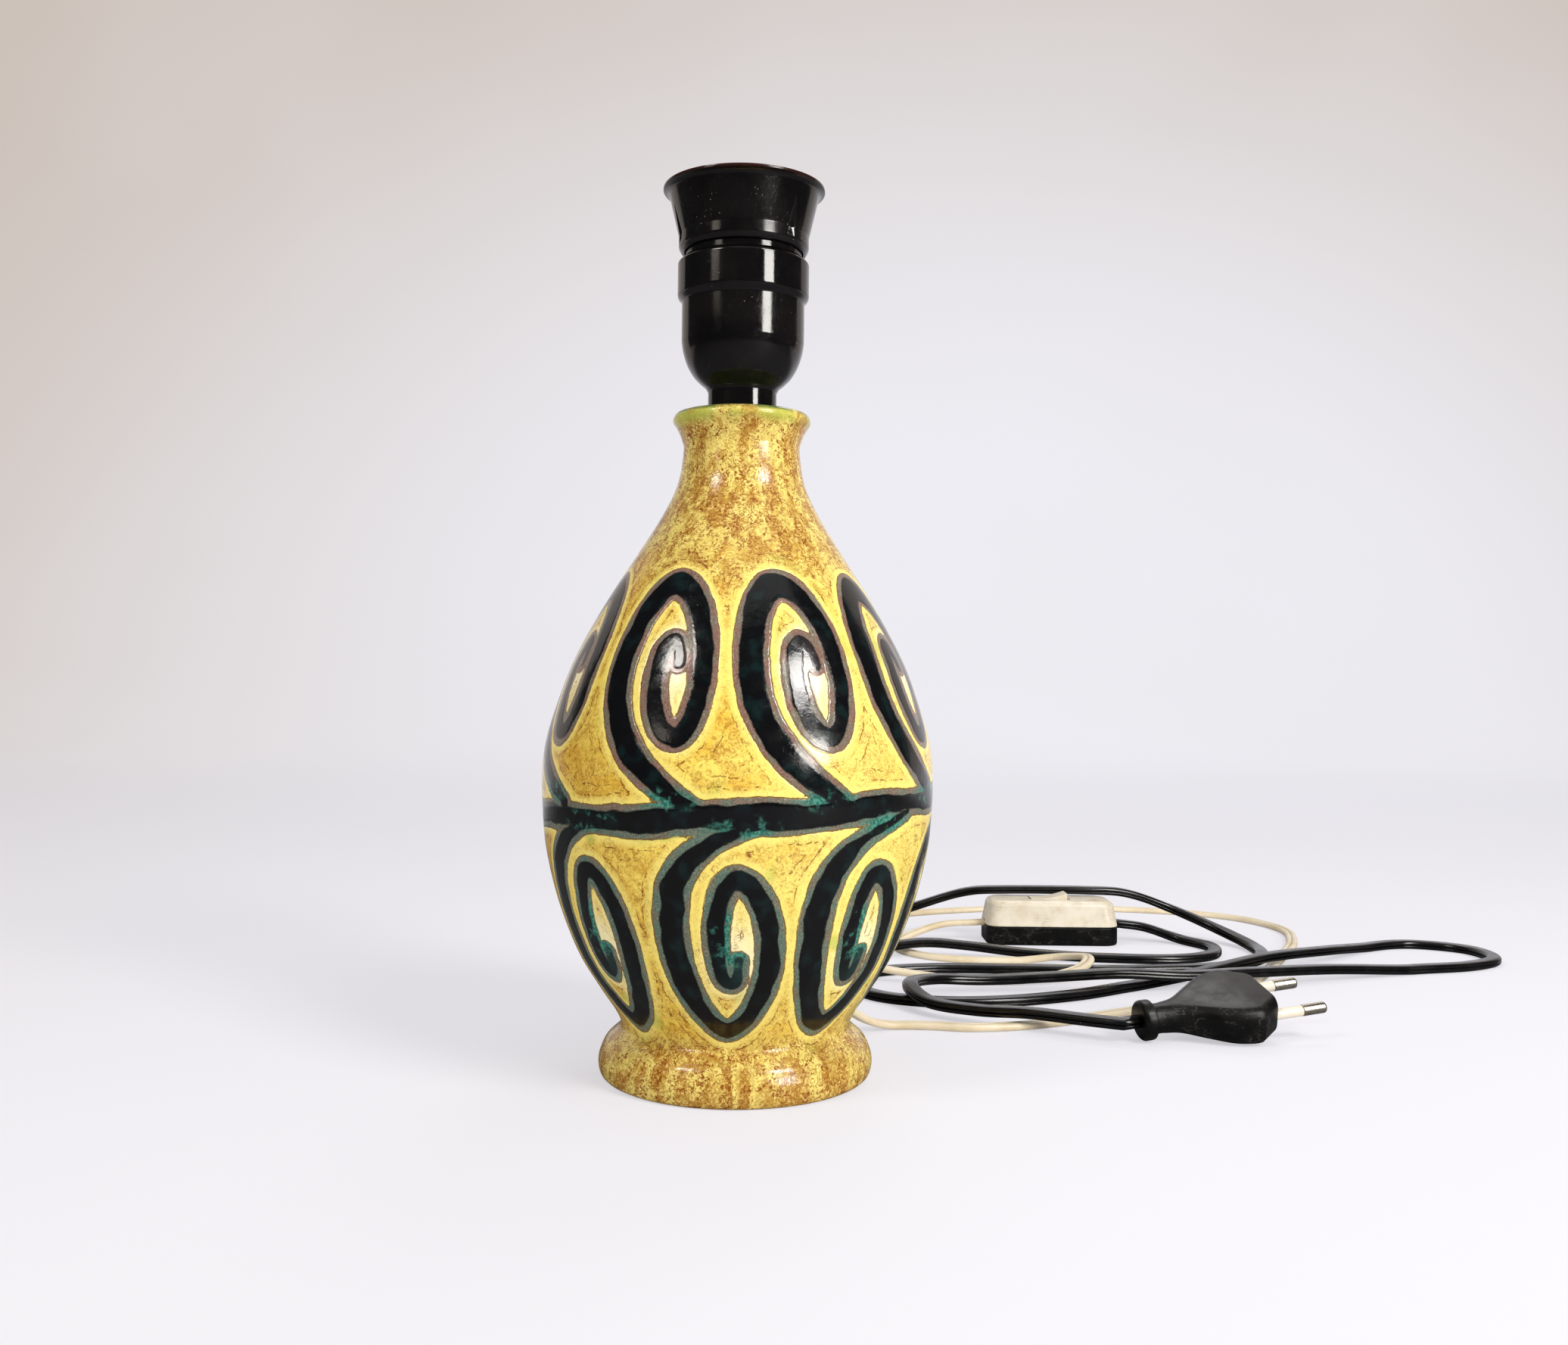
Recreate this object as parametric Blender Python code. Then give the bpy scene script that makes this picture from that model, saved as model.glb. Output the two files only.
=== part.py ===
"""Table lamp base: glazed ceramic body, black E27 lampholder, and a mains lead with an in-line switch and a plug.

Metres, +Z up. The origin is on the table at the axis of the body, and -Y is the front.
"""

import math

import bmesh
import bpy
from mathutils import Euler, Vector

MM = 0.001

# Fits
GAP = 0.3 * MM
OVERRUN = 3.0 * MM

# Facets of round pieces
BODY_SIDES = 36
HOLDER_SIDES = 28
THREAD_SIDES = 28
TUBE_SIDES = 16
NUT_SIDES = 6
SMALL_SIDES = 12
CORNER_STEPS = 3
LEAD_RESOLUTION = 2
SHARP_ANGLE = math.radians(35)

# Ceramic body
BODY_HEIGHT = 208.8 * MM
FOOT_EDGE_RADIUS = 41.0 * MM
FOOT_OPENING_RADIUS = 33.0 * MM
FOOT_RADIUS = 43.3 * MM
FOOT_BULGE_HEIGHT = 5.2 * MM
WAIST_RADIUS = 36.3 * MM
WAIST_HEIGHT = 16.5 * MM
BELLY_RADIUS = 61.7 * MM
BELLY_HEIGHT = 95.0 * MM
NECK_RADIUS = 18.5 * MM
NECK_HEIGHT = 197.0 * MM
RIM_RADIUS = 21.9 * MM
RIM_HEIGHT = 206.0 * MM
RIM_EDGE = 2.0 * MM
BODY_WALL = 6.0 * MM
TOP_WALL = 8.0 * MM

# Threaded tube, washer and nut
TUBE_RADIUS = 5.0 * MM
TUBE_BORE = 4.0 * MM
TUBE_ABOVE_SEAT = 12.0 * MM
TUBE_BELOW_NUT = 2.5 * MM
WASHER_RADIUS = 10.0 * MM
WASHER_THICKNESS = 1.5 * MM
NUT_ACROSS_FLATS = 14.0 * MM
NUT_THICKNESS = 5.0 * MM

# Bushing of the lead, low at the back of the body
BUSHING_ANGLE = math.radians(50)
BUSHING_FLANGE = 5.0 * MM
BUSHING_FLANGE_THICKNESS = 1.5 * MM
BUSHING_NECK = 3.9 * MM
BUSHING_BORE = 2.9 * MM
BUSHING_INSIDE = 1.2 * MM
SPOT_FACE_DEPTH = 0.5 * MM

# Holder cap, heights measured from its seat on the body
CAP_NECK_RADIUS = 10.9 * MM
CAP_NECK_HEIGHT = 6.4 * MM
CAP_RADIUS = 19.5 * MM
CAP_BELL_TOP = 22.4 * MM
CAP_BAND_RADIUS = 20.9 * MM
CAP_BAND_BOTTOM = 36.6 * MM
CAP_BAND_STEP = 1.7 * MM
CAP_HEIGHT = 48.7 * MM
CAP_CHAMFER = 1.5 * MM
CAP_CHAMFER_WIDTH = 1.6 * MM
CAP_FLOOR_HEIGHT = 12.4 * MM
CAP_FLOOR_RADIUS = 10.5 * MM
CAP_CAVITY_RADIUS = 15.0 * MM
CAP_CAVITY_RISE = 7.0 * MM
CORE_SEAT_HEIGHT = 30.9 * MM
CORE_POCKET_HEIGHT = 37.9 * MM
LOCK_SCREW_RADIUS = 1.6 * MM
LOCK_SCREW_HEIGHT = 3.2 * MM
LOCK_SCREW_RECESS = 0.6 * MM

# Insulator core and what it carries
CORE_RADIUS = 17.0 * MM
CORE_THICKNESS = 6.4 * MM
CORE_RIB_HALF_WIDTH = 3.8 * MM
CORE_RIB_LENGTH = 24.0 * MM
CORE_RIB_DEPTH = 8.5 * MM
TERMINAL_WIDTH = 7.0 * MM
TERMINAL_LENGTH = 9.0 * MM
TERMINAL_HEIGHT = 8.0 * MM
CONTACT_SCREW_RADIUS = 1.3 * MM
CONTACT_SCREW_HEAD = 2.2 * MM
CONTACT_SCREW_HEAD_HEIGHT = 1.3 * MM
CONTACT_SCREW_DEPTH = 3.5 * MM
WIRE_HOLE_RADIUS = 1.4 * MM
WIRE_HOLE_OFFSET = 2.2 * MM
WIRE_HOLE_DEPTH = 4.5 * MM
CLAMP_SCREW_RADIUS = 1.1 * MM
CLAMP_SCREW_HEAD = 2.0 * MM
CLAMP_SCREW_HEAD_HEIGHT = 1.4 * MM
CLAMP_SCREW_DEPTH = 1.0 * MM
CLAMP_SCREW_HEIGHT = 2.1 * MM
CONTACT_THICKNESS = 0.5 * MM
CONTACT_WIDTH = 5.0 * MM
CONTACT_LIFT = 1.0 * MM
CONTACT_END = 2.5 * MM
CONTACT_RISE = 4.0 * MM
CONTACT_TIP = 2.0 * MM
CONTACT_TIP_DROP = 0.8 * MM
CONTACT_HEAD_CLEARANCE = 0.7 * MM

# Holder mantle, thread sleeve and shade ring
MANTLE_RADIUS = 18.6 * MM
MANTLE_WALL = 2.2 * MM
MANTLE_TOP_ABOVE_CAP = 19.2 * MM
MANTLE_LIP_RADIUS = 14.6 * MM
MANTLE_LIP_THICKNESS = 1.8 * MM
SLEEVE_RADIUS = 13.7 * MM
SLEEVE_WALL = 0.8 * MM
SLEEVE_HEIGHT = 26.4 * MM
SLEEVE_FLANGE_RADIUS = 10.8 * MM
RING_GAP_ABOVE_CAP = 2.0 * MM
RING_HEIGHT = 20.5 * MM
RING_BOTTOM_RADIUS = 19.7 * MM
RING_FOOT_RADIUS = 20.7 * MM
RING_FOOT_CHAMFER = 1.4 * MM
RING_FOOT_HEIGHT = 5.2 * MM
RING_TOP_RADIUS = 23.7 * MM
RING_LIP_RADIUS = 25.7 * MM
RING_LIP_THICKNESS = 0.9 * MM
RING_LIP_HEIGHT = 2.5 * MM
RING_THREAD_HEIGHT = 7.2 * MM
RING_WALL = 1.9 * MM
GRIP_COUNT = 3
GRIP_FIRST_ANGLE = math.radians(-43)
GRIP_ABOVE_FOOT = 0.7 * MM
GRIP_LENGTH = 11.6 * MM
GRIP_RADIUS = 1.85 * MM
GRIP_DEPTH = 1.3 * MM

# Flat leads: width, thickness and the round cores inside
PALE_WIDTH = 5.2 * MM
PALE_THICKNESS = 2.6 * MM
BLACK_WIDTH = 6.2 * MM
BLACK_THICKNESS = 3.8 * MM
CORE_WIRE_RADIUS = 1.0 * MM
CORE_WIRE_SPREAD = 1.3 * MM
PALE_POINT_SPACING = 14.5 * MM
BLACK_POINT_SPACING = 18.6 * MM
TABLE_CLEARANCE = 0.1 * MM
INNER_LEAD_SPACING = 12.5 * MM
LEAD_INSERTION = 4.0 * MM
INNER_LEAD_BEND = 30.0 * MM
INNER_LEAD_ABOVE_TUBE = 1.7 * MM

# In-line switch
SWITCH_PLACE = (142.0 * MM, 230.0 * MM)
SWITCH_LENGTH = 62.0 * MM
SWITCH_WIDTH = 27.0 * MM
SWITCH_CORNER = 6.0 * MM
SWITCH_WALL = 2.0 * MM
SWITCH_EDGE = 1.0 * MM
SWITCH_BOTTOM_HEIGHT = 8.5 * MM
SWITCH_TOP_HEIGHT = 11.7 * MM
SWITCH_DRAFT = 1.5 * MM
SWITCH_CROWN = 3.0 * MM
SWITCH_CROWN_INSET = 3.0 * MM
ROCKER_LENGTH = 17.2 * MM
ROCKER_WIDTH = 9.0 * MM
ROCKER_DEPTH = 7.0 * MM
ROCKER_WINDOW_CLEARANCE = 1.0 * MM
ROCKER_PROUD = 0.7 * MM
ROCKER_DISH = 1.0 * MM
ROCKER_TAPER = 0.4 * MM
ROCKER_PIVOT_DEPTH = 4.1 * MM
ROCKER_TILT = math.radians(8)
ROCKER_PIN_RADIUS = 1.0 * MM
ROCKER_CHEEK = 1.6 * MM
ROCKER_CHEEK_BELOW = 2.6 * MM
BRIDGE_HALF_LENGTH = 7.0 * MM
BRIDGE_WIDTH = 4.0 * MM
BRIDGE_THICKNESS = 0.5 * MM
POST_WIDTH = 3.0 * MM
STRIP_THICKNESS = 0.6 * MM
STRIP_END = 20.0 * MM
CLAMP_BLOCK_LENGTH = 6.0 * MM
CLAMP_BLOCK_HEIGHT = 3.4 * MM
NEUTRAL_OFFSET = 7.5 * MM
NEUTRAL_WIDTH = 2.4 * MM
CASE_SCREW_PLACE = (22.0 * MM, 7.0 * MM)
CASE_SCREW_RADIUS = 1.3 * MM
CASE_SCREW_HEAD = 2.4 * MM
CASE_SCREW_HEAD_HEIGHT = 0.9 * MM
CASE_SCREW_RECESS = 1.4 * MM
CASE_SCREW_LENGTH = 13.0 * MM
CASE_PILLAR_RADIUS = 2.9 * MM

# Flat two-pin plug, along its own X from the cable end
PLUG_PLACE = (139.0 * MM, 42.0 * MM)
PLUG_YAW = math.radians(12)
PLUG_PITCH = math.radians(-6)
PLUG_ROLL = math.radians(15)
COLLAR_RADIUS = 7.0 * MM
COLLAR_LENGTH = 4.6 * MM
COLLAR_EDGE = 1.0 * MM
PLUG_NECK_RADIUS = 5.2 * MM
PLUG_LENGTH = 47.0 * MM
PLUG_HALF_WIDTH = 17.2 * MM
PLUG_HALF_THICKNESS = 6.85 * MM
PLUG_FRONT_HALF_WIDTH = 11.0 * MM
PLUG_CORNER = 4.2 * MM
PIN_SPACING = 18.6 * MM
PIN_RADIUS = 2.0 * MM
PIN_CORE_RADIUS = 1.3 * MM
PIN_LENGTH = 19.0 * MM
PIN_TIP_LENGTH = 9.0 * MM
PIN_DEPTH = 5.0 * MM
PIN_NOSE = 0.8 * MM

# Routes of the free leads, in metres. Each point was set by hand on the table or over what the lead crosses.
PALE_ROUTE = [
    (0.0315, 0.0375, 0.0150), (0.0385, 0.0450, 0.0090), (0.0460, 0.0520, 0.0036), (0.0550, 0.0560, 0.0014),
    (0.0680, 0.0560, 0.0014), (0.0840, 0.0540, 0.0014), (0.1080, 0.0600, 0.0014), (0.1380, 0.0770, 0.0014),
    (0.1700, 0.0960, 0.0014), (0.1970, 0.1190, 0.0014), (0.2170, 0.1480, 0.0014), (0.2360, 0.1830, 0.0014),
    (0.2560, 0.2230, 0.0014), (0.2640, 0.2600, 0.0014), (0.2500, 0.2930, 0.0014), (0.2160, 0.3120, 0.0014),
    (0.1720, 0.3180, 0.0014), (0.1250, 0.3130, 0.0014), (0.0800, 0.2950, 0.0014), (0.0430, 0.2640, 0.0014),
    (0.0180, 0.2260, 0.0014), (0.0080, 0.1850, 0.0014), (0.0190, 0.1530, 0.0040), (0.0430, 0.1380, 0.0066),
    (0.0670, 0.1330, 0.0040), (0.0930, 0.1320, 0.0014), (0.1170, 0.1320, 0.0022), (0.1370, 0.1390, 0.0050),
    (0.1450, 0.1560, 0.0066), (0.1360, 0.1710, 0.0040), (0.1180, 0.1745, 0.0014), (0.0980, 0.1750, 0.0014),
    (0.0800, 0.1820, 0.0014), (0.0690, 0.1960, 0.0014), (0.0680, 0.2130, 0.0018), (0.0780, 0.2260, 0.0040),
    (0.0920, 0.2300, 0.0075),
]
BLACK_ROUTE = [
    (0.1880, 0.2295, 0.0070), (0.2030, 0.2245, 0.0026), (0.2130, 0.2080, 0.0020), (0.2070, 0.1880, 0.0020),
    (0.1860, 0.1780, 0.0020), (0.1540, 0.1800, 0.0020), (0.1220, 0.1850, 0.0030), (0.0980, 0.1880, 0.0052),
    (0.0780, 0.1890, 0.0062), (0.0560, 0.1890, 0.0036), (0.0380, 0.2000, 0.0020), (0.0360, 0.2200, 0.0030),
    (0.0500, 0.2370, 0.0060), (0.0760, 0.2420, 0.0130), (0.1020, 0.2390, 0.0215), (0.1220, 0.2383, 0.0231),
    (0.1620, 0.2383, 0.0231), (0.1820, 0.2400, 0.0215), (0.2040, 0.2410, 0.0140), (0.2240, 0.2290, 0.0060),
    (0.2330, 0.2060, 0.0020), (0.2260, 0.1800, 0.0020), (0.2030, 0.1620, 0.0020), (0.1720, 0.1550, 0.0020),
    (0.1400, 0.1530, 0.0020), (0.1080, 0.1540, 0.0020), (0.0780, 0.1530, 0.0020), (0.0530, 0.1440, 0.0020),
    (0.0430, 0.1230, 0.0020), (0.0510, 0.1010, 0.0020), (0.0720, 0.0910, 0.0020), (0.1000, 0.0930, 0.0020),
    (0.1300, 0.1050, 0.0020), (0.1570, 0.1230, 0.0020), (0.1900, 0.1430, 0.0036), (0.2240, 0.1640, 0.0060),
    (0.2580, 0.1880, 0.0046), (0.2860, 0.2110, 0.0020), (0.3100, 0.2200, 0.0020), (0.3320, 0.2080, 0.0020),
    (0.3330, 0.1850, 0.0020), (0.3150, 0.1700, 0.0020), (0.2850, 0.1610, 0.0020), (0.2450, 0.1470, 0.0046),
    (0.2060, 0.1310, 0.0062), (0.1780, 0.1225, 0.0064), (0.1500, 0.1195, 0.0076), (0.1220, 0.1190, 0.0060),
    (0.0960, 0.1190, 0.0046), (0.0750, 0.1130, 0.0060), (0.0640, 0.0950, 0.0076), (0.0700, 0.0770, 0.0050),
    (0.0860, 0.0650, 0.0050), (0.1030, 0.0555, 0.0064), (0.1200, 0.0470, 0.0064),
]

# Shares of the rise from one named station of the body to the next: radius, then height
foot_edge_shares = [(0.0, 0.0), (0.55, 0.16), (0.9, 0.5), (1.0, 1.0)]
foot_shares = [(0.08, 0.23), (0.33, 0.55), (0.8, 0.82), (1.0, 1.0)]
belly_shares = [(0.08, 0.06), (0.29, 0.16), (0.55, 0.3), (0.79, 0.5), (0.94, 0.7), (0.99, 0.86), (1.0, 1.0)]
shoulder_shares = [
    (0.025, 0.1), (0.115, 0.23), (0.235, 0.36), (0.44, 0.52), (0.665, 0.67), (0.855, 0.8), (0.962, 0.9), (1.0, 1.0),
]
rim_shares = [(0.15, 0.36), (0.46, 0.66), (0.82, 0.9), (1.0, 1.0)]
cap_bell_shares = [(0.1, 0.1), (0.3, 0.19), (0.55, 0.33), (0.78, 0.54), (0.93, 0.78), (1.0, 1.0)]
ring_flare_shares = [(0.12, 0.4), (0.42, 0.75), (1.0, 1.0)]
plug_width_shares = [(0.16, 0.0), (0.3, 0.12), (0.46, 0.5), (0.62, 0.86), (0.76, 1.0)]
plug_front_share = 0.82
leaf_bend_shares = [(0.0, 0.0), (0.35, 0.12), (0.75, 0.55), (1.0, 1.0)]

# Part of one facet by which rods and drills are turned, so that their edges miss those of what they cut
rod_phase_share = 0.37

# Heights that follow from the sizes above
SEAT_Z = BODY_HEIGHT + GAP
CORE_Z = SEAT_Z + CORE_SEAT_HEIGHT + GAP
CORE_TOP_Z = CORE_Z + CORE_THICKNESS
CAP_TOP_Z = SEAT_Z + CAP_HEIGHT
MANTLE_Z = CORE_TOP_Z + GAP
TERMINAL_X = CORE_RIB_HALF_WIDTH + GAP + TERMINAL_WIDTH / 2
TERMINAL_Z = CORE_Z - GAP - TERMINAL_HEIGHT
CONTACT_Z = CORE_TOP_Z + CONTACT_LIFT
UNDERSIDE_Z = BODY_HEIGHT - TOP_WALL
SWITCH_SEAM_Z = SWITCH_BOTTOM_HEIGHT + GAP / 2
SWITCH_TOP_Z = SWITCH_BOTTOM_HEIGHT + GAP + SWITCH_TOP_HEIGHT
PIVOT_Z = SWITCH_TOP_Z + ROCKER_PROUD - ROCKER_PIVOT_DEPTH


def clear_scene():
    for thing in list(bpy.data.objects):
        bpy.data.objects.remove(thing, do_unlink=True)


def material(name, colour, roughness, metallic=0.0):
    made = bpy.data.materials.get(name)
    if made is None:
        made = bpy.data.materials.new(name)
        made.use_nodes = True
        shader = made.node_tree.nodes["Principled BSDF"]
        shader.inputs["Base Color"].default_value = (*colour, 1.0)
        shader.inputs["Roughness"].default_value = roughness
        shader.inputs["Metallic"].default_value = metallic
    return made


def glaze():
    return material("glaze", (0.62, 0.37, 0.06), 0.28)


def black_moulding():
    return material("black_moulding", (0.012, 0.011, 0.011), 0.16)


def porcelain():
    return material("porcelain", (0.82, 0.8, 0.74), 0.3)


def brass():
    return material("brass", (0.78, 0.57, 0.25), 0.3, 1.0)


def steel():
    return material("steel", (0.62, 0.61, 0.58), 0.34, 1.0)


def cream_moulding():
    return material("cream_moulding", (0.78, 0.72, 0.6), 0.42)


def pale_sheath():
    return material("pale_sheath", (0.74, 0.6, 0.42), 0.45)


def black_sheath():
    return material("black_sheath", (0.014, 0.013, 0.013), 0.3)


def empty(name, place, turn=(0, 0, 0), parent=None):
    made = bpy.data.objects.new(name, None)
    bpy.context.collection.objects.link(made)
    made.location = place
    made.rotation_euler = Euler(turn)
    made.parent = parent
    return made


def put(name, mesh, finish, place=(0, 0, 0), turn=(0, 0, 0), parent=None):
    """One named piece of the lamp, or a cutter when there is no finish."""
    made = bpy.data.objects.new(name, mesh)
    bpy.context.collection.objects.link(made)
    made.location = place
    made.rotation_euler = Euler(turn)
    made.parent = parent
    if finish is None:
        made.hide_render = True
        made.display_type = "WIRE"
    else:
        mesh.materials.append(finish)
        mesh.shade_smooth()
        mesh.set_sharp_from_angle(angle=SHARP_ANGLE)
    return made


def mesh_from(name, shape):
    bmesh.ops.recalc_face_normals(shape, faces=shape.faces)
    mesh = bpy.data.meshes.new(name)
    shape.to_mesh(mesh)
    shape.free()
    return mesh


def turned(name, outline, sides, closed=True, phase=0.0):
    """Turn an outline of (radius, height) points about Z. An open outline starts and ends on the axis."""
    shape = bmesh.new()
    rings = []
    for radius, height in outline:
        if radius == 0:
            rings.append([shape.verts.new((0, 0, height))])
            continue
        ring = []
        for side in range(sides):
            angle = 2 * math.pi * (side + phase) / sides
            ring.append(shape.verts.new((radius * math.cos(angle), radius * math.sin(angle), height)))
        rings.append(ring)
    pairs = list(zip(rings, rings[1:]))
    if closed:
        pairs.append((rings[-1], rings[0]))
    for low, high in pairs:
        for side in range(sides):
            after = (side + 1) % sides
            if len(low) == 1:
                shape.faces.new((low[0], high[side], high[after]))
            elif len(high) == 1:
                shape.faces.new((low[side], low[after], high[0]))
            else:
                shape.faces.new((low[side], low[after], high[after], high[side]))
    return mesh_from(name, shape)


def rod(name, radius, low, high, sides=SMALL_SIDES):
    outline = [(0, low), (radius, low), (radius, high), (0, high)]
    return turned(name, outline, sides, closed=False, phase=rod_phase_share)


def washer(name, inner, outer, low, high, sides=SMALL_SIDES):
    return turned(name, [(inner, low), (outer, low), (outer, high), (inner, high)], sides)


def lofted(name, loops):
    """Join loops of as many points each, and close the first and the last."""
    shape = bmesh.new()
    rings = [[shape.verts.new(point) for point in loop] for loop in loops]
    for low, high in zip(rings, rings[1:]):
        for side in range(len(low)):
            after = (side + 1) % len(low)
            shape.faces.new((low[side], low[after], high[after], high[side]))
    shape.faces.new(rings[0])
    shape.faces.new(rings[-1])
    return mesh_from(name, shape)


def rounded_rectangle(half_length, half_width, corner):
    points = []
    for quarter in range(4):
        along = half_length - corner if quarter in (0, 3) else corner - half_length
        across = half_width - corner if quarter in (0, 1) else corner - half_width
        for step in range(CORNER_STEPS + 1):
            angle = math.pi / 2 * (quarter + step / CORNER_STEPS)
            points.append((along + corner * math.cos(angle), across + corner * math.sin(angle)))
    return points


def level_loop(inset, height, half_length, half_width, corner):
    flat = rounded_rectangle(half_length - inset, half_width - inset, corner)
    return [(x, y, height) for x, y in flat]


def block(name, low, high):
    """A box between two corners."""
    (x0, y0, z0), (x1, y1, z1) = low, high
    return lofted(name, [[(x0, y0, z), (x1, y0, z), (x1, y1, z), (x0, y1, z)] for z in (z0, z1)])


def profile_across(name, profile, half_width):
    """A flat outline in X and Z, drawn out across Y."""
    return lofted(name, [[(x, y, z) for x, z in profile] for y in (-half_width, half_width)])


def boolean(piece, cutter, operation="DIFFERENCE"):
    step = piece.modifiers.new(cutter.name, "BOOLEAN")
    step.operation = operation
    step.solver = "EXACT"
    step.object = cutter


def station_curve(start, end, shares):
    return [
        (start[0] + done[0] * (end[0] - start[0]), start[1] + done[1] * (end[1] - start[1])) for done in shares
    ]


def smooth_route(points, spacing, lowest=0.0):
    """Points at even steps along one smooth curve through the points of a route, none below the lowest height."""
    route = [Vector(point) for point in points]
    ends = [2 * route[0] - route[1], *route, 2 * route[-1] - route[-2]]
    fine = []
    for before, start, end, after in zip(ends, ends[1:], ends[2:], ends[3:]):
        steps = max(4, round((end - start).length / spacing * 12))
        for step in range(steps):
            part = step / steps
            fine.append(
                0.5 * (
                    2 * start + (end - before) * part + (2 * before - 5 * start + 4 * end - after) * part ** 2
                    + (3 * start - before - 3 * end + after) * part ** 3
                )
            )
    fine.append(route[-1])
    length = sum((b - a).length for a, b in zip(fine, fine[1:]))
    count = round(length / spacing)
    step = length / count
    even = [fine[0]]
    walked = 0.0
    for a, b in zip(fine, fine[1:]):
        stretch = (b - a).length
        while walked + stretch >= step * len(even) and len(even) < count:
            even.append(a.lerp(b, (step * len(even) - walked) / stretch))
        walked += stretch
    even.append(fine[-1])
    for point in even:
        point.z = max(point.z, lowest)
    return even, length


def lead(name, points, width, thickness, finish, flat=True):
    """A flat or round lead along points, as a curve with filled ends."""
    curve = bpy.data.curves.new(name, "CURVE")
    curve.dimensions = "3D"
    curve.bevel_depth = thickness / 2
    curve.extrude = (width - thickness) / 2
    curve.bevel_resolution = LEAD_RESOLUTION
    curve.use_fill_caps = True
    curve.twist_mode = "Z_UP" if flat else "MINIMUM"
    spline = curve.splines.new("POLY")
    spline.points.add(len(points) - 1)
    for place, point in zip(spline.points, points):
        place.co = (*point, 1.0)
        place.tilt = math.pi / 2
    curve.materials.append(finish)
    made = bpy.data.objects.new(name, curve)
    bpy.context.collection.objects.link(made)
    return made


def body_outline():
    edge = (FOOT_EDGE_RADIUS, 0)
    foot = (FOOT_RADIUS, FOOT_BULGE_HEIGHT)
    waist = (WAIST_RADIUS, WAIST_HEIGHT)
    belly = (BELLY_RADIUS, BELLY_HEIGHT)
    neck = (NECK_RADIUS, NECK_HEIGHT)
    rim = (RIM_RADIUS, RIM_HEIGHT)
    outer = station_curve(edge, foot, foot_edge_shares)
    outer += station_curve(foot, waist, foot_shares)
    outer += station_curve(waist, belly, belly_shares)
    outer += station_curve(belly, neck, shoulder_shares)
    outer += station_curve(neck, rim, rim_shares)
    drop = BODY_HEIGHT - RIM_HEIGHT
    for step in range(1, CORNER_STEPS + 1):
        angle = math.pi / 2 * step / CORNER_STEPS
        outer.append((RIM_RADIUS - RIM_EDGE * (1 - math.cos(angle)), RIM_HEIGHT + drop * math.sin(angle)))
    return outer


def body_inside():
    opening = (FOOT_OPENING_RADIUS, 0)
    waist = (WAIST_RADIUS - BODY_WALL, WAIST_HEIGHT)
    belly = (BELLY_RADIUS - BODY_WALL, BELLY_HEIGHT)
    neck = (NECK_RADIUS - BODY_WALL, UNDERSIDE_Z)
    inside = [opening, waist]
    inside += station_curve(waist, belly, belly_shares[1::2])
    inside += [belly]
    inside += station_curve(belly, neck, shoulder_shares[1::2])
    return inside


def bushing_frame():
    """The bushing's own frame: its +Z points out of the body, and its origin is on the spot face."""
    reach = WAIST_RADIUS - SPOT_FACE_DEPTH + GAP
    place = (reach * math.cos(BUSHING_ANGLE), reach * math.sin(BUSHING_ANGLE), WAIST_HEIGHT)
    return place, (0, math.pi / 2, BUSHING_ANGLE)


def ceramic_body():
    hole = TUBE_RADIUS + GAP
    outline = body_outline() + [(hole, BODY_HEIGHT), (hole, UNDERSIDE_Z)] + body_inside()[::-1]
    body = put("ceramic_body", turned("ceramic_body", outline, BODY_SIDES), glaze())
    place, turn = bushing_frame()
    through = rod("lead_hole", BUSHING_NECK + GAP, -BODY_WALL - OVERRUN, OVERRUN)
    boolean(body, put("lead_hole", through, None, place, turn))
    face = rod("spot_face", BUSHING_FLANGE + GAP, -GAP, BUSHING_FLANGE_THICKNESS + OVERRUN)
    boolean(body, put("spot_face", face, None, place, turn))
    return body


def cord_bushing():
    inside = -(BODY_WALL - SPOT_FACE_DEPTH + GAP) - BUSHING_INSIDE
    outline = [
        (BUSHING_BORE, inside), (BUSHING_NECK, inside), (BUSHING_NECK, 0), (BUSHING_FLANGE, 0),
        (BUSHING_FLANGE, BUSHING_FLANGE_THICKNESS), (BUSHING_BORE, BUSHING_FLANGE_THICKNESS),
    ]
    place, turn = bushing_frame()
    put("cord_bushing", turned("cord_bushing", outline, SMALL_SIDES), black_moulding(), place, turn)


def clamping_pieces():
    washer_z = UNDERSIDE_Z - GAP - WASHER_THICKNESS
    nut_z = washer_z - GAP - NUT_THICKNESS
    bore = TUBE_RADIUS + GAP
    tube = washer("threaded_tube", TUBE_BORE, TUBE_RADIUS, nut_z - TUBE_BELOW_NUT, SEAT_Z + TUBE_ABOVE_SEAT,
                  TUBE_SIDES)
    put("threaded_tube", tube, steel())
    disc = washer("tube_washer", bore, WASHER_RADIUS, washer_z, washer_z + WASHER_THICKNESS, TUBE_SIDES)
    put("tube_washer", disc, steel())
    corner = NUT_ACROSS_FLATS / math.sqrt(3)
    nut = put("tube_nut", rod("tube_nut", corner, nut_z, nut_z + NUT_THICKNESS, NUT_SIDES), brass())
    cut = rod("nut_thread", bore, nut_z - OVERRUN, nut_z + NUT_THICKNESS + OVERRUN)
    boolean(nut, put("nut_thread", cut, None))


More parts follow.
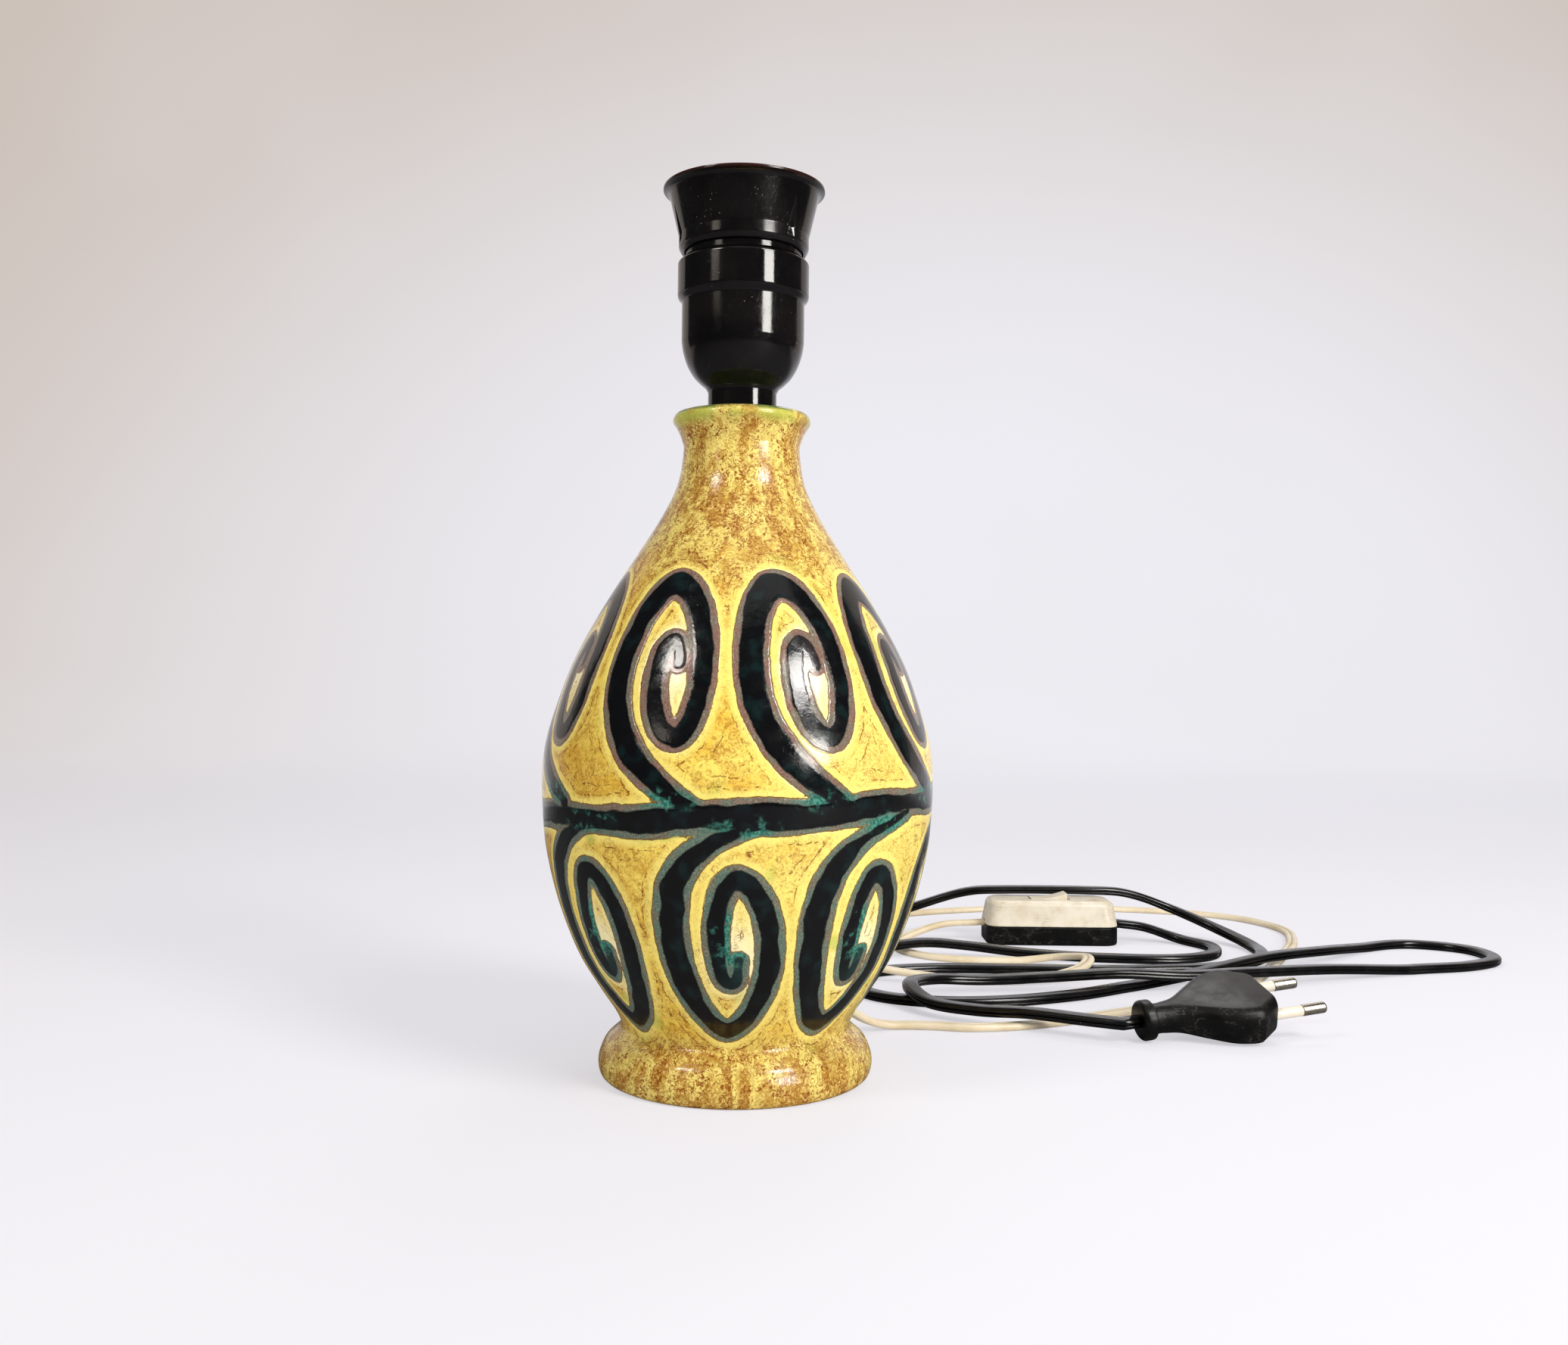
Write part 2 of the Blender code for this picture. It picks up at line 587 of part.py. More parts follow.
def holder_cap():
    neck = (CAP_NECK_RADIUS, SEAT_Z + CAP_NECK_HEIGHT)
    bell = (CAP_RADIUS, SEAT_Z + CAP_BELL_TOP)
    band = SEAT_Z + CAP_BAND_BOTTOM
    outline = [(CAP_NECK_RADIUS, SEAT_Z), neck]
    outline += station_curve(neck, bell, cap_bell_shares)
    outline += [
        (CAP_RADIUS, band - CAP_BAND_STEP), (CAP_BAND_RADIUS, band), (CAP_BAND_RADIUS, CAP_TOP_Z - CAP_CHAMFER),
        (CAP_BAND_RADIUS - CAP_CHAMFER_WIDTH, CAP_TOP_Z),
    ]
    thread = MANTLE_RADIUS + GAP
    pocket = CORE_RADIUS + GAP
    floor = SEAT_Z + CAP_FLOOR_HEIGHT
    seat = SEAT_Z + CORE_SEAT_HEIGHT
    shelf = SEAT_Z + CORE_POCKET_HEIGHT
    hole = TUBE_RADIUS + GAP
    outline += [
        (thread, CAP_TOP_Z), (thread, shelf), (pocket, shelf), (pocket, seat), (CAP_CAVITY_RADIUS, seat),
        (CAP_CAVITY_RADIUS, floor + CAP_CAVITY_RISE), (CAP_FLOOR_RADIUS, floor), (hole, floor),
        (hole, SEAT_Z),
    ]
    cap = put("holder_cap", turned("holder_cap", outline, HOLDER_SIDES), black_moulding())
    place = (0, 0, SEAT_Z + LOCK_SCREW_HEIGHT)
    turn = (-math.pi / 2, 0, 0)
    drill = rod("lock_screw_hole", LOCK_SCREW_RADIUS + GAP, TUBE_RADIUS, CAP_NECK_RADIUS + OVERRUN)
    boolean(cap, put("lock_screw_hole", drill, None, place, turn))
    screw = rod("lock_screw", LOCK_SCREW_RADIUS, TUBE_RADIUS + GAP, CAP_NECK_RADIUS - LOCK_SCREW_RECESS)
    put("lock_screw", screw, steel(), place, turn)


def insulator_core():
    core = put("insulator_core", rod("insulator_core", CORE_RADIUS, CORE_Z, CORE_TOP_Z, HOLDER_SIDES), porcelain())
    half = CORE_RIB_LENGTH / 2
    low = (-CORE_RIB_HALF_WIDTH, -half, CORE_Z - CORE_RIB_DEPTH)
    rib = block("core_rib", low, (CORE_RIB_HALF_WIDTH, half, CORE_Z + CORE_THICKNESS / 2))
    boolean(core, put("core_rib", rib, None), "UNION")
    for side, label in ((1, "live"), (-1, "neutral")):
        hole = rod("core_hole_" + label, CONTACT_SCREW_RADIUS + GAP, CORE_Z - OVERRUN, CORE_TOP_Z + OVERRUN)
        boolean(core, put("core_hole_" + label, hole, None, (side * TERMINAL_X, 0, 0)))


def terminal(side, label):
    place = (side * TERMINAL_X, 0, 0)
    low = (-TERMINAL_WIDTH / 2, -TERMINAL_LENGTH / 2, TERMINAL_Z)
    high = (TERMINAL_WIDTH / 2, TERMINAL_LENGTH / 2, TERMINAL_Z + TERMINAL_HEIGHT)
    piece = put("terminal_" + label, block("terminal_" + label, low, high), brass(), place)
    top = TERMINAL_Z + TERMINAL_HEIGHT
    thread = rod("thread_" + label, CONTACT_SCREW_RADIUS + GAP, top - CONTACT_SCREW_DEPTH - GAP, top + OVERRUN)
    boolean(piece, put("thread_" + label, thread, None, place))
    wire = rod("wire_hole_" + label, WIRE_HOLE_RADIUS, TERMINAL_Z - OVERRUN, TERMINAL_Z + WIRE_HOLE_DEPTH)
    boolean(piece, put("wire_hole_" + label, wire, None, (side * TERMINAL_X, -WIRE_HOLE_OFFSET, 0)))
    clamp_place = (side * TERMINAL_X, 0, TERMINAL_Z + CLAMP_SCREW_HEIGHT)
    clamp_turn = (math.pi / 2, 0, 0)
    face = TERMINAL_LENGTH / 2
    tapped = rod("clamp_hole_" + label, CLAMP_SCREW_RADIUS + GAP, WIRE_HOLE_OFFSET, face + OVERRUN)
    boolean(piece, put("clamp_hole_" + label, tapped, None, clamp_place, clamp_turn))
    head = face + GAP
    outline = [
        (0, face - CLAMP_SCREW_DEPTH), (CLAMP_SCREW_RADIUS, face - CLAMP_SCREW_DEPTH), (CLAMP_SCREW_RADIUS, head),
        (CLAMP_SCREW_HEAD, head), (CLAMP_SCREW_HEAD, head + CLAMP_SCREW_HEAD_HEIGHT),
        (0, head + CLAMP_SCREW_HEAD_HEIGHT),
    ]
    screw = turned("terminal_screw_" + label, outline, SMALL_SIDES, closed=False)
    put("terminal_screw_" + label, screw, steel(), clamp_place, clamp_turn)


def contact_screw(side, label, head):
    """A screw from above the core into the terminal below it; head is the height of its head's underside."""
    tip = TERMINAL_Z + TERMINAL_HEIGHT - CONTACT_SCREW_DEPTH
    top = head + CONTACT_SCREW_HEAD_HEIGHT
    outline = [
        (0, tip), (CONTACT_SCREW_RADIUS, tip), (CONTACT_SCREW_RADIUS, head), (CONTACT_SCREW_HEAD, head),
        (CONTACT_SCREW_HEAD, top), (0, top),
    ]
    screw = turned("core_screw_" + label, outline, SMALL_SIDES, closed=False)
    put("core_screw_" + label, screw, steel(), (side * TERMINAL_X, 0, 0))


def strip_profile(line, thickness):
    """The outline in X and Z of a bent strip whose lower face follows a line."""
    return line + [(x, z + thickness) for x, z in reversed(line)]


def contacts():
    hinge_z = CONTACT_Z + CONTACT_THICKNESS / 2
    tip_rise = CONTACT_RISE - CONTACT_TIP_DROP
    bend = -CONTACT_END
    centre = -TERMINAL_X
    line = [(CONTACT_END, 0)]
    line += station_curve((bend, 0), (centre, CONTACT_RISE), leaf_bend_shares)
    line += [(centre - CONTACT_TIP, tip_rise)]
    line = [(x, z - CONTACT_THICKNESS / 2) for x, z in line]
    leaf = profile_across("centre_contact", strip_profile(line, CONTACT_THICKNESS), CONTACT_WIDTH / 2)
    contact = put("centre_contact", leaf, brass(), (TERMINAL_X, 0, hinge_z))
    reach = CONTACT_LIFT + OVERRUN
    drill = rod("leaf_hole", CONTACT_SCREW_RADIUS + GAP + GAP, -reach, reach)
    boolean(contact, put("leaf_hole", drill, None, (TERMINAL_X, 0, hinge_z)))
    contact_screw(1, "live", CONTACT_Z + CONTACT_THICKNESS + CONTACT_HEAD_CLEARANCE)

    side_z = CORE_TOP_Z + GAP
    flange = SLEEVE_FLANGE_RADIUS * math.cos(math.pi / THREAD_SIDES) - GAP
    end = math.sqrt(flange ** 2 - (CONTACT_WIDTH / 2) ** 2) - TERMINAL_X
    low = (-end, -CONTACT_WIDTH / 2, side_z)
    strip = block("side_contact", low, (CONTACT_END, CONTACT_WIDTH / 2, side_z + CONTACT_THICKNESS))
    side = put("side_contact", strip, brass(), (-TERMINAL_X, 0, 0))
    drill = rod("side_hole", CONTACT_SCREW_RADIUS + GAP, side_z - OVERRUN, side_z + OVERRUN)
    boolean(side, put("side_hole", drill, None, (-TERMINAL_X, 0, 0)))
    contact_screw(-1, "neutral", side_z + CONTACT_THICKNESS + GAP)


def thread_sleeve():
    """The sleeve that takes the bulb's thread: a thin cup with a hole in its floor for the contacts."""
    base = CORE_TOP_Z + GAP
    top = base + SLEEVE_HEIGHT
    floor = base + SLEEVE_WALL
    bore = SLEEVE_RADIUS - SLEEVE_WALL
    outline = [
        (SLEEVE_FLANGE_RADIUS, base), (SLEEVE_RADIUS, base), (SLEEVE_RADIUS, top), (bore, top), (bore, floor),
        (SLEEVE_FLANGE_RADIUS, floor),
    ]
    put("thread_sleeve", turned("thread_sleeve", outline, THREAD_SIDES), brass())


def holder_mantle():
    top = CAP_TOP_Z + MANTLE_TOP_ABOVE_CAP
    bore = MANTLE_RADIUS - MANTLE_WALL
    edge = MANTLE_LIP_THICKNESS / 3
    outline = [
        (bore, MANTLE_Z), (MANTLE_RADIUS, MANTLE_Z), (MANTLE_RADIUS, top - edge), (MANTLE_RADIUS - edge, top),
        (MANTLE_LIP_RADIUS, top), (MANTLE_LIP_RADIUS, top - MANTLE_LIP_THICKNESS), (bore, top - MANTLE_LIP_THICKNESS),
    ]
    put("holder_mantle", turned("holder_mantle", outline, HOLDER_SIDES), black_moulding())


def grip_outline():
    """A drop on its point side up: a half circle below and two straight sides to a point above."""
    steps = 2 * CORNER_STEPS
    points = []
    for step in range(steps + 1):
        angle = math.pi + math.pi * step / steps
        points.append((GRIP_RADIUS * math.cos(angle), GRIP_RADIUS + GRIP_RADIUS * math.sin(angle)))
    return points + [(0, GRIP_LENGTH)]


def shade_ring():
    """Built from its own lower face up, and placed on the mantle by its location."""
    wall_top = RING_HEIGHT - RING_LIP_HEIGHT
    lip = RING_HEIGHT - RING_LIP_THICKNESS
    outline = [
        (RING_BOTTOM_RADIUS, 0), (RING_FOOT_RADIUS, RING_FOOT_CHAMFER), (RING_FOOT_RADIUS, RING_FOOT_HEIGHT),
        (RING_TOP_RADIUS, wall_top),
    ]
    outline += station_curve((RING_TOP_RADIUS, wall_top), (RING_LIP_RADIUS, lip), ring_flare_shares)
    thread = MANTLE_RADIUS + GAP
    outline += [
        (RING_LIP_RADIUS, RING_HEIGHT), (RING_TOP_RADIUS, RING_HEIGHT),
        (RING_TOP_RADIUS - RING_WALL, wall_top), (RING_FOOT_RADIUS - RING_WALL + GAP, RING_THREAD_HEIGHT + GAP),
        (thread, RING_THREAD_HEIGHT), (thread, 0),
    ]
    place = (0, 0, CAP_TOP_Z + RING_GAP_ABOVE_CAP)
    ring = put("shade_ring", turned("shade_ring", outline, HOLDER_SIDES), black_moulding(), place)
    slope = math.atan2(RING_TOP_RADIUS - RING_FOOT_RADIUS, wall_top - RING_FOOT_HEIGHT)
    wall = (RING_FOOT_RADIUS + GRIP_ABOVE_FOOT * math.tan(slope), 0, RING_FOOT_HEIGHT + GRIP_ABOVE_FOOT)
    for count in range(GRIP_COUNT):
        name = f"grip_recess_{count + 1}"
        drop = [[(depth, x, z) for x, z in grip_outline()] for depth in (-GRIP_DEPTH, OVERRUN)]
        pivot = empty(name + "_frame", place, (0, 0, GRIP_FIRST_ANGLE + count * 2 * math.pi / GRIP_COUNT))
        cutter = put(name, lofted(name, drop), None, wall, (0, slope, 0), pivot)
        boolean(ring, cutter)


def inner_wiring():
    """The lead inside the body, and its two cores above the tube."""
    place, _ = bushing_frame()
    out = Vector((math.cos(BUSHING_ANGLE), math.sin(BUSHING_ANGLE), 0))
    face = Vector(place) + out * BUSHING_FLANGE_THICKNESS
    lift = Vector((0, 0, 1))
    top = SEAT_Z + TUBE_ABOVE_SEAT + INNER_LEAD_ABOVE_TUBE
    centre = Vector((0, 0, WAIST_HEIGHT))
    route = [face, centre + out * INNER_LEAD_BEND]
    for step in range(1, CORNER_STEPS + 1):
        angle = math.pi / 2 * step / CORNER_STEPS
        route.append(
            centre + out * INNER_LEAD_BEND * (1 - math.sin(angle)) + lift * INNER_LEAD_BEND * (1 - math.cos(angle))
        )
    route += [Vector((0, 0, BELLY_HEIGHT)), Vector((0, 0, top))]
    points, _ = smooth_route(route, INNER_LEAD_SPACING)
    lead("inner_lead", points, PALE_WIDTH, PALE_THICKNESS, pale_sheath(), flat=False)
    start_z = top + GAP
    end_z = TERMINAL_Z + WIRE_HOLE_DEPTH - GAP
    rise = TERMINAL_Z - start_z
    for side, label in ((1, "live"), (-1, "neutral")):
        x = side * CORE_WIRE_SPREAD
        reach = side * TERMINAL_X
        route = [
            (x, 0, start_z), (x, 0, start_z + rise / 4), ((x + reach) / 2, -WIRE_HOLE_OFFSET / 2, start_z + rise / 2),
            (reach, -WIRE_HOLE_OFFSET, TERMINAL_Z - rise / 6), (reach, -WIRE_HOLE_OFFSET, end_z),
        ]
        across = 2 * CORE_WIRE_RADIUS
        points, _ = smooth_route(route, across)
        lead("core_" + label, points, across, across, pale_sheath(), flat=False)


def switch_case(base):
    half_length = SWITCH_LENGTH / 2
    half_width = SWITCH_WIDTH / 2
    size = (half_length, half_width, SWITCH_CORNER)
    inner = (half_length, half_width, SWITCH_CORNER - SWITCH_WALL)
    tray = [
        level_loop(SWITCH_EDGE, 0, *size), level_loop(0, SWITCH_EDGE, *size),
        level_loop(0, SWITCH_BOTTOM_HEIGHT, *size), level_loop(SWITCH_WALL, SWITCH_BOTTOM_HEIGHT, *inner),
        level_loop(SWITCH_WALL, SWITCH_WALL, *inner),
    ]
    bottom = put("switch_bottom", lofted("switch_bottom", tray), black_moulding(), parent=base)
    seam = SWITCH_BOTTOM_HEIGHT + GAP
    shoulder = SWITCH_TOP_Z - SWITCH_CROWN
    lid = [
        level_loop(SWITCH_WALL + SWITCH_DRAFT, SWITCH_TOP_Z - SWITCH_WALL - SWITCH_EDGE, *inner),
        level_loop(SWITCH_WALL, seam, *inner), level_loop(0, seam, *size),
        level_loop(SWITCH_DRAFT, shoulder, *size),
        level_loop(SWITCH_DRAFT + SWITCH_CROWN_INSET / 3, SWITCH_TOP_Z - SWITCH_CROWN / 3, *size),
        level_loop(SWITCH_DRAFT + SWITCH_CROWN_INSET, SWITCH_TOP_Z, *size),
    ]
    top = put("switch_top", lofted("switch_top", lid), cream_moulding(), parent=base)

    for side, width, thickness, label in (
        (-1, PALE_WIDTH, PALE_THICKNESS, "pale"), (1, BLACK_WIDTH, BLACK_THICKNESS, "black"),
    ):
        tall = thickness / 2 + GAP
        wide = width / 2 + GAP
        inside = side * (half_length - LEAD_INSERTION - OVERRUN)
        outside = side * (half_length + OVERRUN)
        low = (min(inside, outside), -wide, SWITCH_SEAM_Z - tall)
        name = label + "_entry"
        entry = put(name, block(name, low, (max(inside, outside), wide, SWITCH_SEAM_Z + tall)), None, parent=base)
        boolean(bottom, entry)
        boolean(top, entry)

    for side, label in ((1, "right"), (-1, "left")):
        place = (side * CASE_SCREW_PLACE[0], -side * CASE_SCREW_PLACE[1], 0)
        name = "case_pillar_" + label
        pillar = rod(name, CASE_PILLAR_RADIUS, seam, SWITCH_TOP_Z - SWITCH_WALL)
        boolean(top, put(name, pillar, None, place, parent=base), "UNION")
        name = "case_screw_hole_" + label
        hole = rod(name, CASE_SCREW_RADIUS + GAP, -OVERRUN, CASE_SCREW_RECESS + CASE_SCREW_LENGTH + GAP)
        cutter = put(name, hole, None, place, parent=base)
        boolean(top, cutter)
        boolean(bottom, cutter)
        name = "case_screw_seat_" + label
        boolean(bottom, put(name, rod(name, CASE_SCREW_HEAD + GAP, -OVERRUN, CASE_SCREW_RECESS), None, place,
                            parent=base))
        head = CASE_SCREW_RECESS - GAP
        outline = [
            (0, head - CASE_SCREW_HEAD_HEIGHT), (CASE_SCREW_HEAD, head - CASE_SCREW_HEAD_HEIGHT),
            (CASE_SCREW_HEAD, head), (CASE_SCREW_RADIUS, head), (CASE_SCREW_RADIUS, CASE_SCREW_LENGTH),
            (0, CASE_SCREW_LENGTH),
        ]
        screw = turned("case_screw_" + label, outline, SMALL_SIDES, closed=False)
        put("case_screw_" + label, screw, steel(), place, parent=base)
    return top


def rocker_window(base, top):
    """The window for the rocker, the cheeks that carry its pin, and the pin's holes in them."""
    half_length = ROCKER_LENGTH / 2 + ROCKER_WINDOW_CLEARANCE
    half_width = ROCKER_WIDTH / 2 + GAP
    reach = SWITCH_TOP_Z + OVERRUN
    deep = PIVOT_Z - ROCKER_CHEEK_BELOW
    for side, label in ((1, "front"), (-1, "back")):
        name = "rocker_cheek_" + label
        near = side * half_width
        far = side * (half_width + ROCKER_CHEEK)
        low = (-ROCKER_CHEEK_BELOW, min(near, far), deep)
        cheek = block(name, low, (ROCKER_CHEEK_BELOW, max(near, far), SWITCH_TOP_Z - SWITCH_WALL))
        boolean(top, put(name, cheek, None, parent=base), "UNION")
    window = block("rocker_window", (-half_length, -half_width, deep), (half_length, half_width, reach))
    boolean(top, put("rocker_window", window, None, parent=base))
    long = half_width + ROCKER_CHEEK
    drill = rod("rocker_pin_hole", ROCKER_PIN_RADIUS + GAP, -long - OVERRUN, long + OVERRUN)
    boolean(top, put("rocker_pin_hole", drill, None, (0, 0, PIVOT_Z), (math.pi / 2, 0, 0), base))
    pin = rod("rocker_pin", ROCKER_PIN_RADIUS, -long, long)
    put("rocker_pin", pin, steel(), (0, 0, PIVOT_Z), (math.pi / 2, 0, 0), base)


def rocker(base):
    """The rocker and the contact under it, on an empty at the pin's axis, tipped to off."""
    pivot = empty("rocker_axis", (0, 0, PIVOT_Z), (0, -ROCKER_TILT, 0), base)
    high = ROCKER_PIVOT_DEPTH + ROCKER_DISH
    low = high - ROCKER_DEPTH
    half = ROCKER_LENGTH / 2
    foot = half - ROCKER_TAPER
    middle = foot / 3
    keel = low - ROCKER_DISH
    profile = [(-foot, low), (-middle, keel), (middle, keel), (foot, low), (half, high), (0, ROCKER_PIVOT_DEPTH),
               (-half, high)]
    piece = profile_across("switch_rocker", profile, ROCKER_WIDTH / 2)
    made = put("switch_rocker", piece, cream_moulding(), parent=pivot)
    reach = ROCKER_WIDTH / 2 + OVERRUN
    drill = rod("rocker_bore", ROCKER_PIN_RADIUS + GAP, -reach, reach)
    boolean(made, put("rocker_bore", drill, None, (0, 0, 0), (math.pi / 2, 0, 0), pivot))
    top = keel - GAP
    half = BRIDGE_HALF_LENGTH
    strip = block("contact_bridge", (-half, -BRIDGE_WIDTH / 2, top - BRIDGE_THICKNESS), (half, BRIDGE_WIDTH / 2, top))
    put("contact_bridge", strip, brass(), parent=pivot)
    return top - BRIDGE_THICKNESS


def switch_contacts(base, bridge):
    """Fixed contacts: one under the middle of the bridge, one under its end when the switch is on."""
    floor = SWITCH_WALL + GAP
    drop = -bridge * math.cos(ROCKER_TILT)
    closed = PIVOT_Z - drop - BRIDGE_HALF_LENGTH * math.sin(ROCKER_TILT) - GAP
    swing = POST_WIDTH / 2 * math.sin(ROCKER_TILT)
    middle = PIVOT_Z + bridge - swing - GAP
    for side, centre, top, label in ((-1, 0, middle, "in"), (1, BRIDGE_HALF_LENGTH, closed, "out")):
        near = centre - side * POST_WIDTH / 2
        far = centre + side * POST_WIDTH / 2
        end = side * STRIP_END
        clamp = side * (STRIP_END - CLAMP_BLOCK_LENGTH)
        profile = [
            (near, floor), (end, floor), (end, floor + CLAMP_BLOCK_HEIGHT), (clamp, floor + CLAMP_BLOCK_HEIGHT),
            (clamp, floor + STRIP_THICKNESS), (far, floor + STRIP_THICKNESS), (far, top), (near, top),
        ]
        name = "switch_contact_" + label
        put(name, profile_across(name, profile, POST_WIDTH / 2), brass(), parent=base)
    half = NEUTRAL_WIDTH / 2
    low = (-STRIP_END / 2 - CLAMP_BLOCK_LENGTH, -NEUTRAL_OFFSET - half, floor)
    high = (STRIP_END / 2 + CLAMP_BLOCK_LENGTH, -NEUTRAL_OFFSET + half, floor + CLAMP_BLOCK_HEIGHT / 2)
    put("neutral_link", block("neutral_link", low, high), brass(), parent=base)


def inline_switch():
    base = empty("switch_frame", (*SWITCH_PLACE, 0))
    rocker_window(base, switch_case(base))
    switch_contacts(base, rocker(base))


def plug_frame():
    """The plug's frame at the centre of its collar's cable face."""
    return (*PLUG_PLACE, COLLAR_RADIUS + TABLE_CLEARANCE), (PLUG_ROLL, PLUG_PITCH, PLUG_YAW)


def cross_section(along, half_width, half_thickness, corner):
    return [(along, y, z) for y, z in rounded_rectangle(half_width, half_thickness, corner)]


def plug():
    place, turn = plug_frame()
    base = empty("plug_axis", place, turn)
    edge = COLLAR_RADIUS - COLLAR_EDGE
    sections = [
        (0, edge, edge, edge), (COLLAR_EDGE, COLLAR_RADIUS, COLLAR_RADIUS, COLLAR_RADIUS),
        (COLLAR_LENGTH - COLLAR_EDGE, COLLAR_RADIUS, COLLAR_RADIUS, COLLAR_RADIUS), (COLLAR_LENGTH, edge, edge, edge),
    ]
    for along, wide in plug_width_shares:
        half_width = PLUG_NECK_RADIUS + wide * (PLUG_HALF_WIDTH - PLUG_NECK_RADIUS)
        half_thickness = PLUG_NECK_RADIUS + wide * (PLUG_HALF_THICKNESS - PLUG_NECK_RADIUS)
        corner = PLUG_NECK_RADIUS + wide * (PLUG_CORNER - PLUG_NECK_RADIUS)
        sections.append((along * PLUG_LENGTH, half_width, half_thickness, corner))
    sections.append((plug_front_share * PLUG_LENGTH, PLUG_HALF_WIDTH, PLUG_HALF_THICKNESS, PLUG_CORNER))
    sections.append((PLUG_LENGTH, PLUG_FRONT_HALF_WIDTH, PLUG_HALF_THICKNESS, PLUG_CORNER))
    body = put("plug_body", lofted("plug_body", [cross_section(*sizes) for sizes in sections]), black_moulding(),
               parent=base)
    sleeve_radius = PIN_RADIUS - GAP / 3
    sleeve_end = PIN_LENGTH - PIN_TIP_LENGTH - GAP
    turn = (0, math.pi / 2, 0)
    for side, label in ((-1, "near"), (1, "far")):
        place = (PLUG_LENGTH, side * PIN_SPACING / 2, 0)
        name = "pin_bore_" + label
        bore = rod(name, sleeve_radius + GAP, -PIN_DEPTH - GAP, OVERRUN)
        boolean(body, put(name, bore, None, place, turn, base))
        outline = [
            (0, -PIN_DEPTH), (PIN_CORE_RADIUS, -PIN_DEPTH), (PIN_CORE_RADIUS, PIN_LENGTH - PIN_TIP_LENGTH),
            (PIN_RADIUS, PIN_LENGTH - PIN_TIP_LENGTH), (PIN_RADIUS, PIN_LENGTH - PIN_NOSE),
            (PIN_RADIUS - PIN_NOSE, PIN_LENGTH), (0, PIN_LENGTH),
        ]
        name = "plug_pin_" + label
        put(name, turned(name, outline, SMALL_SIDES, closed=False), steel(), place, turn, base)
        name = "plug_sleeve_" + label
        tube = washer(name, PIN_CORE_RADIUS + GAP, sleeve_radius, -PIN_DEPTH, sleeve_end)
        put(name, tube, cream_moulding(), place, turn, base)


def free_lead(name, ends, route, spacing, width, thickness, finish):
    """A free lead. Each end runs straight for its own width, square to what it meets: ends holds the place of each
    end and the direction in which the lead leaves it."""
    (start, leave), (end, back) = ends
    first = start + leave * width
    last = end + back * width
    points, length = smooth_route([first, *route, last], spacing, thickness / 2 + TABLE_CLEARANCE)
    lead(name, [start, *points, end], width, thickness, finish)
    print(name, round(length + 2 * width, 4), "m long,", len(points) + 2, "points")


def free_leads():
    """The pale lead from the bushing to the switch, and the black one from the switch to the plug."""
    place, _ = bushing_frame()
    out = Vector((math.cos(BUSHING_ANGLE), math.sin(BUSHING_ANGLE), 0))
    bushing = Vector(place) + out * (BUSHING_FLANGE_THICKNESS + GAP)
    inset = SWITCH_LENGTH / 2 - LEAD_INSERTION
    along = Vector((1, 0, 0))
    left = Vector((SWITCH_PLACE[0] - inset, SWITCH_PLACE[1], SWITCH_SEAM_Z))
    right = Vector((SWITCH_PLACE[0] + inset, SWITCH_PLACE[1], SWITCH_SEAM_Z))
    place, turn = plug_frame()
    nose = Euler(turn).to_matrix() @ along
    collar = Vector(place) - nose * GAP
    free_lead("pale_lead", ((bushing, out), (left, -along)), PALE_ROUTE, PALE_POINT_SPACING, PALE_WIDTH,
              PALE_THICKNESS, pale_sheath())
    free_lead("black_lead", ((right, along), (collar, -nose)), BLACK_ROUTE, BLACK_POINT_SPACING, BLACK_WIDTH,
              BLACK_THICKNESS, black_sheath())


def main():
    clear_scene()
    ceramic_body()
    cord_bushing()
    clamping_pieces()
    holder_cap()
    insulator_core()
    terminal(1, "live")
    terminal(-1, "neutral")
    contacts()
    thread_sleeve()
    holder_mantle()
    shade_ring()
    inner_wiring()
    inline_switch()
    plug()
    free_leads()


main()
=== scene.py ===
"""Looks of a table lamp base: glazed ceramic body with a scroll ornament, black lampholder, mains lead.

Metres, +Z up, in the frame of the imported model. Its body stands at the origin, and -Y is the front.
"""

import math

import bmesh
import bpy
import numpy as np
from mathutils import Euler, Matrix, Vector


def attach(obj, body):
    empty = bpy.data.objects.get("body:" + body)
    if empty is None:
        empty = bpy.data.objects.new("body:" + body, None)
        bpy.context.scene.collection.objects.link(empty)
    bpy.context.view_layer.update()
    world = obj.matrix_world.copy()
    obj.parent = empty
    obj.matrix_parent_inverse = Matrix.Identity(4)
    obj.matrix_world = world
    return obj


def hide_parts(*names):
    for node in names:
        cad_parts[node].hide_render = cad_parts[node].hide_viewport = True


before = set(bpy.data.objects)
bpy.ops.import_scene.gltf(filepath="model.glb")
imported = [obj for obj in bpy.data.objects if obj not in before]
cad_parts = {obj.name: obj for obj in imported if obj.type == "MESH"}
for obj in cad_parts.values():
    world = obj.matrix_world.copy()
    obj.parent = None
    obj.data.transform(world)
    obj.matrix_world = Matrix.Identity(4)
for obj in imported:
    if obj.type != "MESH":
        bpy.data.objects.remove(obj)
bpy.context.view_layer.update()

MM = 0.001
ALONG = np.array([1.0, 0.0, 0.0])
SHARP_ANGLE = math.radians(32)
SOFTEN_ANGLE = math.radians(38)
SOFT_EDGE = 0.25 * MM
ROD_SIDES = 48

# A corner's rounding takes at most one of these parts of each side that meets there
SIDE_PARTS = 2.05

# Camera
CAMERA_PLACE = (14.2 * MM, -458.0 * MM, 127.0 * MM)
CAMERA_ROLL = math.radians(-0.6)
CAMERA_LENS = 33.01
CAMERA_SENSOR = 36.0
CAMERA_NEAR = 0.01
CAMERA_FAR = 50.0

